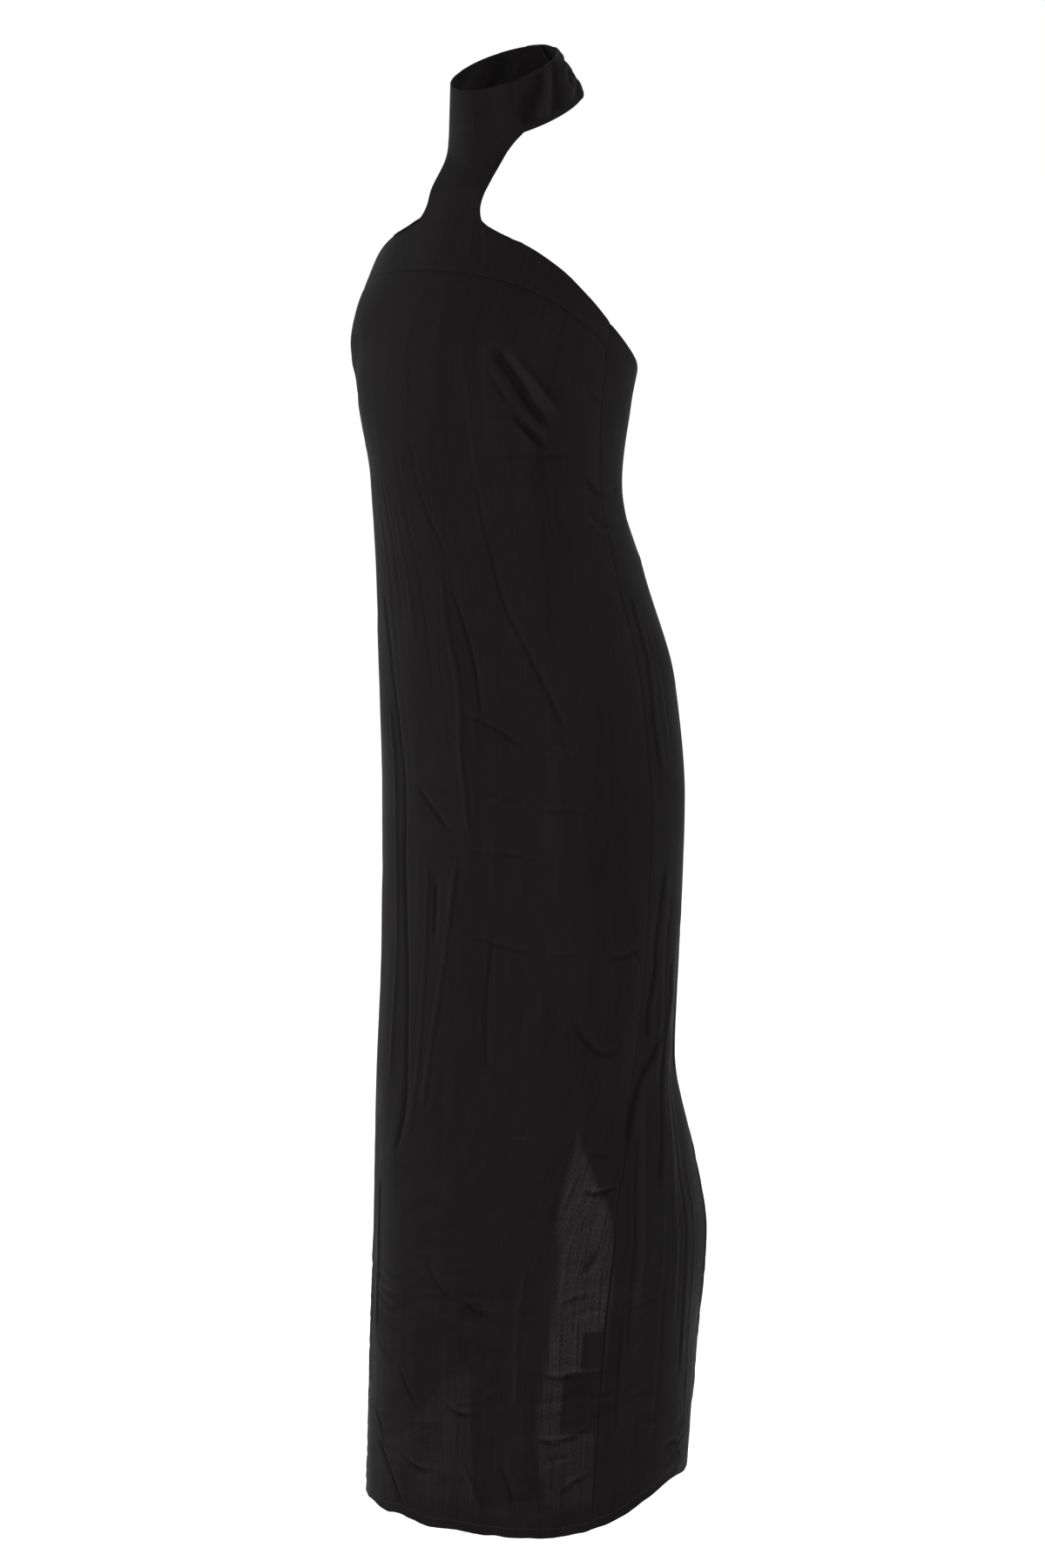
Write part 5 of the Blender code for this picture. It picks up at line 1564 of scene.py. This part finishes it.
def stitch_tree():
    """Small stitches laid along lines, and the identifiers of its inputs by their names."""
    tree = bpy.data.node_groups.new("stitch_line", "GeometryNodeTree")
    kinds = {
        "Lines": "Geometry",
        "Stitch Length": "Float",
        "Stitch Pitch": "Float",
        "Thread Radius": "Float",
        "Thread": "Material",
    }
    sockets = {}
    for label, kind in kinds.items():
        socket = tree.interface.new_socket(label, in_out="INPUT", socket_type="NodeSocket" + kind)
        sockets[label] = socket.identifier
    tree.interface.new_socket("Stitches", in_out="OUTPUT", socket_type="NodeSocketGeometry")
    add = node_adder(tree)
    start = add("NodeGroupInput").outputs
    path = add("GeometryNodeMeshToCurve", {"Mesh": start["Lines"]}).outputs[0]
    spacing = {"Curve": path, "Length": start["Stitch Pitch"]}
    spaced = add("GeometryNodeResampleCurve", spacing, mode="LENGTH").outputs[0]
    bead = add("GeometryNodeMeshUVSphere", {"Segments": 6, "Rings": 5, "Radius": 0.5}).outputs["Mesh"]
    wide = combined(add, "MULTIPLY", start["Thread Radius"], 2.0)
    size = add("ShaderNodeCombineXYZ", {0: wide, 1: wide, 2: start["Stitch Length"]}).outputs[0]
    tangent = add("GeometryNodeInputTangent").outputs[0]
    aim = add("FunctionNodeAlignRotationToVector", {"Vector": tangent}, axis="Z").outputs[0]
    each = {"Points": spaced, "Instance": bead, "Rotation": aim, "Scale": size}
    laid = add("GeometryNodeInstanceOnPoints", each).outputs[0]
    real = add("GeometryNodeRealizeInstances", {0: laid}).outputs[0]
    smooth = add("GeometryNodeSetShadeSmooth", {0: real}).outputs[0]
    coat = add("GeometryNodeSetMaterial", {"Geometry": smooth, "Material": start["Thread"]}).outputs[0]
    add("NodeGroupOutput", {0: coat})
    return tree, sockets


def lay_stitches(name, lines, stitch, thread, stitches):
    """Stitches along lines of points, as one plain mesh."""
    tree, sockets = stitches
    edges = []
    first = 0
    for line in lines:
        edges += [(first + k, first + k + 1) for k in range(len(line) - 1)]
        first += len(line)
    mesh = bpy.data.meshes.new(name)
    mesh.from_pydata(np.concatenate(lines).tolist(), edges, [])
    made = add_object(name, mesh)
    lay = made.modifiers.new("stitches", "NODES")
    lay.node_group = tree
    lay[sockets["Stitch Length"]] = stitch.length
    lay[sockets["Stitch Pitch"]] = stitch.pitch
    lay[sockets["Thread Radius"]] = stitch.radius
    lay[sockets["Thread"]] = thread
    return bake_modifiers(made)


def surface_line(surface, across, down, out):
    """Points along a line on a surface, a little way off it."""
    step = np.array(SLOPE_STEP)
    points = surface(across, down)
    normal = np.cross(
        surface(across, down + step) - surface(across, down - step),
        surface(across + step, down) - surface(across - step, down),
    )
    return points + normal / np.linalg.norm(normal, axis=-1, keepdims=True) * out


def make_hem_stitches(thread, stitches):
    """The fine stitches that catch down the skirt's and the lining's turned hems."""
    around = np.radians(np.linspace(*SKIRT_STITCHED, HEM_STITCH.points))
    drop = outer_hem(around) - HEM_TURN
    outer = surface_line(body, around, drop, -HEM_GROOVE + STITCH_RADIUS * STITCH_RISE)
    skirt = lay_stitches("hem_stitches", [outer], HEM_STITCH, thread, stitches)
    lines = []
    for ends in LINING_STITCHED:
        turn = np.radians(np.linspace(*ends, LINING_STITCH.points))
        drop = lining_hem(turn) - HEM_TURN / 2
        lines.append(surface_line(lining_body, turn, drop, -(WALL + LINING_EASE) + STITCH_CLEARANCE))
    return skirt, lay_stitches("lining_hem_stitches", lines, LINING_STITCH, thread, stitches)


def make_label_stitches(thread, stitches):
    """The stitches that hold each label's edge in the side seam."""
    lines = []
    for row in LABELS:
        ends = (row.top_drop + STITCH_END, row.low_drop - STITCH_END)
        down = np.linspace(*ends, LABEL_STITCH.points)
        reach = ring_reach(np.radians(LABEL_SEAM_TURN), down)
        edge = seam_angle(SEAMS, "left_side", down) - LABEL_STITCH_OFFSET / reach
        lines.append(surface_line(body, edge, down, -(WALL + TRIM_EASE + TAPE + STITCH_CLEARANCE)))
    return lay_stitches("label_stitches", lines, LABEL_STITCH, thread, stitches)


def make_zip_lines(name, end, offset, clearance, stitch, thread, stitches):
    """Two lines along the zip's tape: its stitches, or its rows of coil."""
    first = BACK_TOP + ZIP_BELOW_TOP
    down = np.linspace(first + end, first + ZIP_LENGTH - end, stitch.points)
    centre = seam_angle(SEAMS, "centre_back", down)
    lines = []
    for side in (-1, 1):
        place = centre + side * offset / ring_reach(centre, down)
        lines.append(surface_line(solid_face, place, down, -(WALL + TRIM_EASE + TAPE + clearance)))
    return lay_stitches(name, lines, stitch, thread, stitches)


def make_buttonhole_stitches(thread, stitches):
    """The close stitches round the two buttonholes in the neckband's lap."""
    lines = []
    for height in BUTTON_HEIGHTS.values():
        spin = np.linspace(0, 2 * math.pi, BUTTONHOLE_STITCH.points)
        turn = BUTTON_TURN + BUTTONHOLE_HALF_LENGTH * np.cos(spin) / BAND_LOW_HALF_DEPTH
        fall = 1 - height + BUTTONHOLE_HALF_WIDTH * np.sin(spin) / BAND_HEIGHT
        lines.append(surface_line(neckband, turn, fall, BUTTONHOLE_RISE))
    return lay_stitches("buttonhole_stitches", lines, BUTTONHOLE_STITCH, thread, stitches)


def make_floor():
    """A plain pale floor that reaches past every view."""
    verts = [(x * FLOOR_REACH, y * FLOOR_REACH, FLOOR_HEIGHT) for x, y in FLOOR_CORNERS]
    mesh = bpy.data.meshes.new("floor")
    mesh.from_pydata(verts, [], [(0, 1, 2, 3)])
    material, shader, _ = new_material("pale_floor")
    pale = {
        "Base Color": (0.90, 0.90, 0.90, 1),
        "Roughness": 0.9,
        "Specular IOR Level": 0.1,
        "Emission Color": (1.0, 1.0, 1.0, 1),
        "Emission Strength": 0.12,
    }
    set_inputs(shader, pale)
    mesh.materials.append(material)
    add_object("floor", mesh)


def add_softbox(row):
    """A large soft light that faces a height on the dress."""
    light = bpy.data.lights.new(row.name, "AREA")
    light.shape = "RECTANGLE"
    light.size = row.wide
    light.size_y = row.tall
    light.energy = row.power
    lamp = bpy.data.objects.new(row.name, light)
    bpy.context.scene.collection.objects.link(lamp)
    lamp.location = around_camera(row.turn, row.distance, row.height)
    away = Vector(lamp.location) - Vector((0, 0, row.aim_height))
    lamp.rotation_euler = away.to_track_quat("Z", "Y").to_euler()


def around_camera(turn, distance, height):
    """A place at a turn from the camera's side of the dress, towards the camera's right."""
    angle = CAMERA_TURN + math.radians(turn)
    return (math.sin(angle) * distance, -math.cos(angle) * distance, height)


def light_scene():
    """Even studio light: a bright room, with softboxes in front, above and at each side."""
    world = bpy.data.worlds.new("studio")
    bpy.context.scene.world = world
    world.use_nodes = True
    sky = world.node_tree.nodes["Background"]
    sky.inputs["Color"].default_value = (1.0, 1.0, 1.0, 1)
    sky.inputs["Strength"].default_value = 1.0
    for row in SOFTBOXES:
        add_softbox(row)
    bpy.context.scene.view_settings.view_transform = "Standard"


def make_camera():
    """The camera at the photograph's viewing angle."""
    camera = bpy.data.objects.new("camera", bpy.data.cameras.new("camera"))
    bpy.context.scene.collection.objects.link(camera)
    right = Vector((math.cos(CAMERA_TURN), math.sin(CAMERA_TURN), 0))
    back = Vector((math.sin(CAMERA_TURN), -math.cos(CAMERA_TURN), 0))
    camera.location = back * CAMERA_DISTANCE + Vector((0, 0, CAMERA_HEIGHT)) + right * CAMERA_SLIDE
    upward = back * math.cos(CAMERA_DIP) + Vector((0, 0, math.sin(CAMERA_DIP)))
    camera.rotation_euler = upward.to_track_quat("Z", "Y").to_euler()
    camera.data.lens = CAMERA_LENS
    camera.data.clip_end = CAMERA_REACH
    bpy.context.scene.camera = camera


def make_dress():
    """Every piece of the dress, with what it rides on and the CAD parts it stands for."""
    silk = make_silk("black_silk_crepe")
    skirt_silk = make_silk("black_silk_crepe_skirt", paints_backlight=True)
    lining_silk = make_lining_silk("black_lining_silk")
    label_tape = make_tape("bare_label_tape", LABEL_DARK, LABEL_LIGHT, 0.0)
    zip_weave = make_tape("zip_tape_herringbone", TAPE_DARK, TAPE_LIGHT, 1.0)
    thread = make_grained("black_thread", TWIST, THREAD_DARK, THREAD_LIGHT, (0.42, 0.58), THREAD_BUMP)
    coil = make_grained("black_nylon_coil", NYLON, COIL_DARK, COIL_LIGHT, (0.30, 0.42), COIL_BUMP)
    lacquer = make_lacquer("black_lacquer")

    dress_piece(make_neckband(silk), "neckband")
    dress_piece(make_yoke(silk), "front_yoke")
    dress_piece(make_front(skirt_silk), "front_panel")
    for made, node in zip(make_backs(skirt_silk), ("back_left", "back_right")):
        dress_piece(made, node)
    for made, node in zip(make_lining(lining_silk), LINING_COLUMNS):
        dress_piece(made, node, slot="black_lining")
    for made, row in zip(make_labels(label_tape), LABELS):
        dress_piece(made, row.name, slot="label_tape")
    dress_piece(make_zip_tape(zip_weave), "zip_tape", slot="zip_tape")

    stitches = stitch_tree()
    for made in make_hem_stitches(thread, stitches):
        dress_piece(made)
    dress_piece(make_label_stitches(thread, stitches), slot="label_tape")
    seamed = ("tape_stitches", STITCH_END, TAPE_STITCH_OFFSET, STITCH_CLEARANCE, TAPE_STITCH, thread)
    coiled = ("zip_coils", COIL_END, COIL_OFFSET, COIL_CLEARANCE, COIL_TURN, coil)
    for line in (seamed, coiled):
        dress_piece(make_zip_lines(*line, stitches), slot="zip_tape")
    dress_piece(make_buttonhole_stitches(thread, stitches))
    for made, node in zip(make_buttons(silk), BUTTON_HEIGHTS):
        dress_piece(made, node, slot="button_silk")
    slider = refined("zip_slider", "zip_slider_metal", SLIDER_EDGE, lacquer)
    dress_piece(slider, "zip_slider", slot="zip_metal")
    pull = refined("zip_pull", "zip_pull_metal", PULL_EDGE, lacquer)
    dress_piece(pull, "zip_pull", body_name="pull", slot="zip_metal")


make_camera()
make_floor()
light_scene()
make_dress()
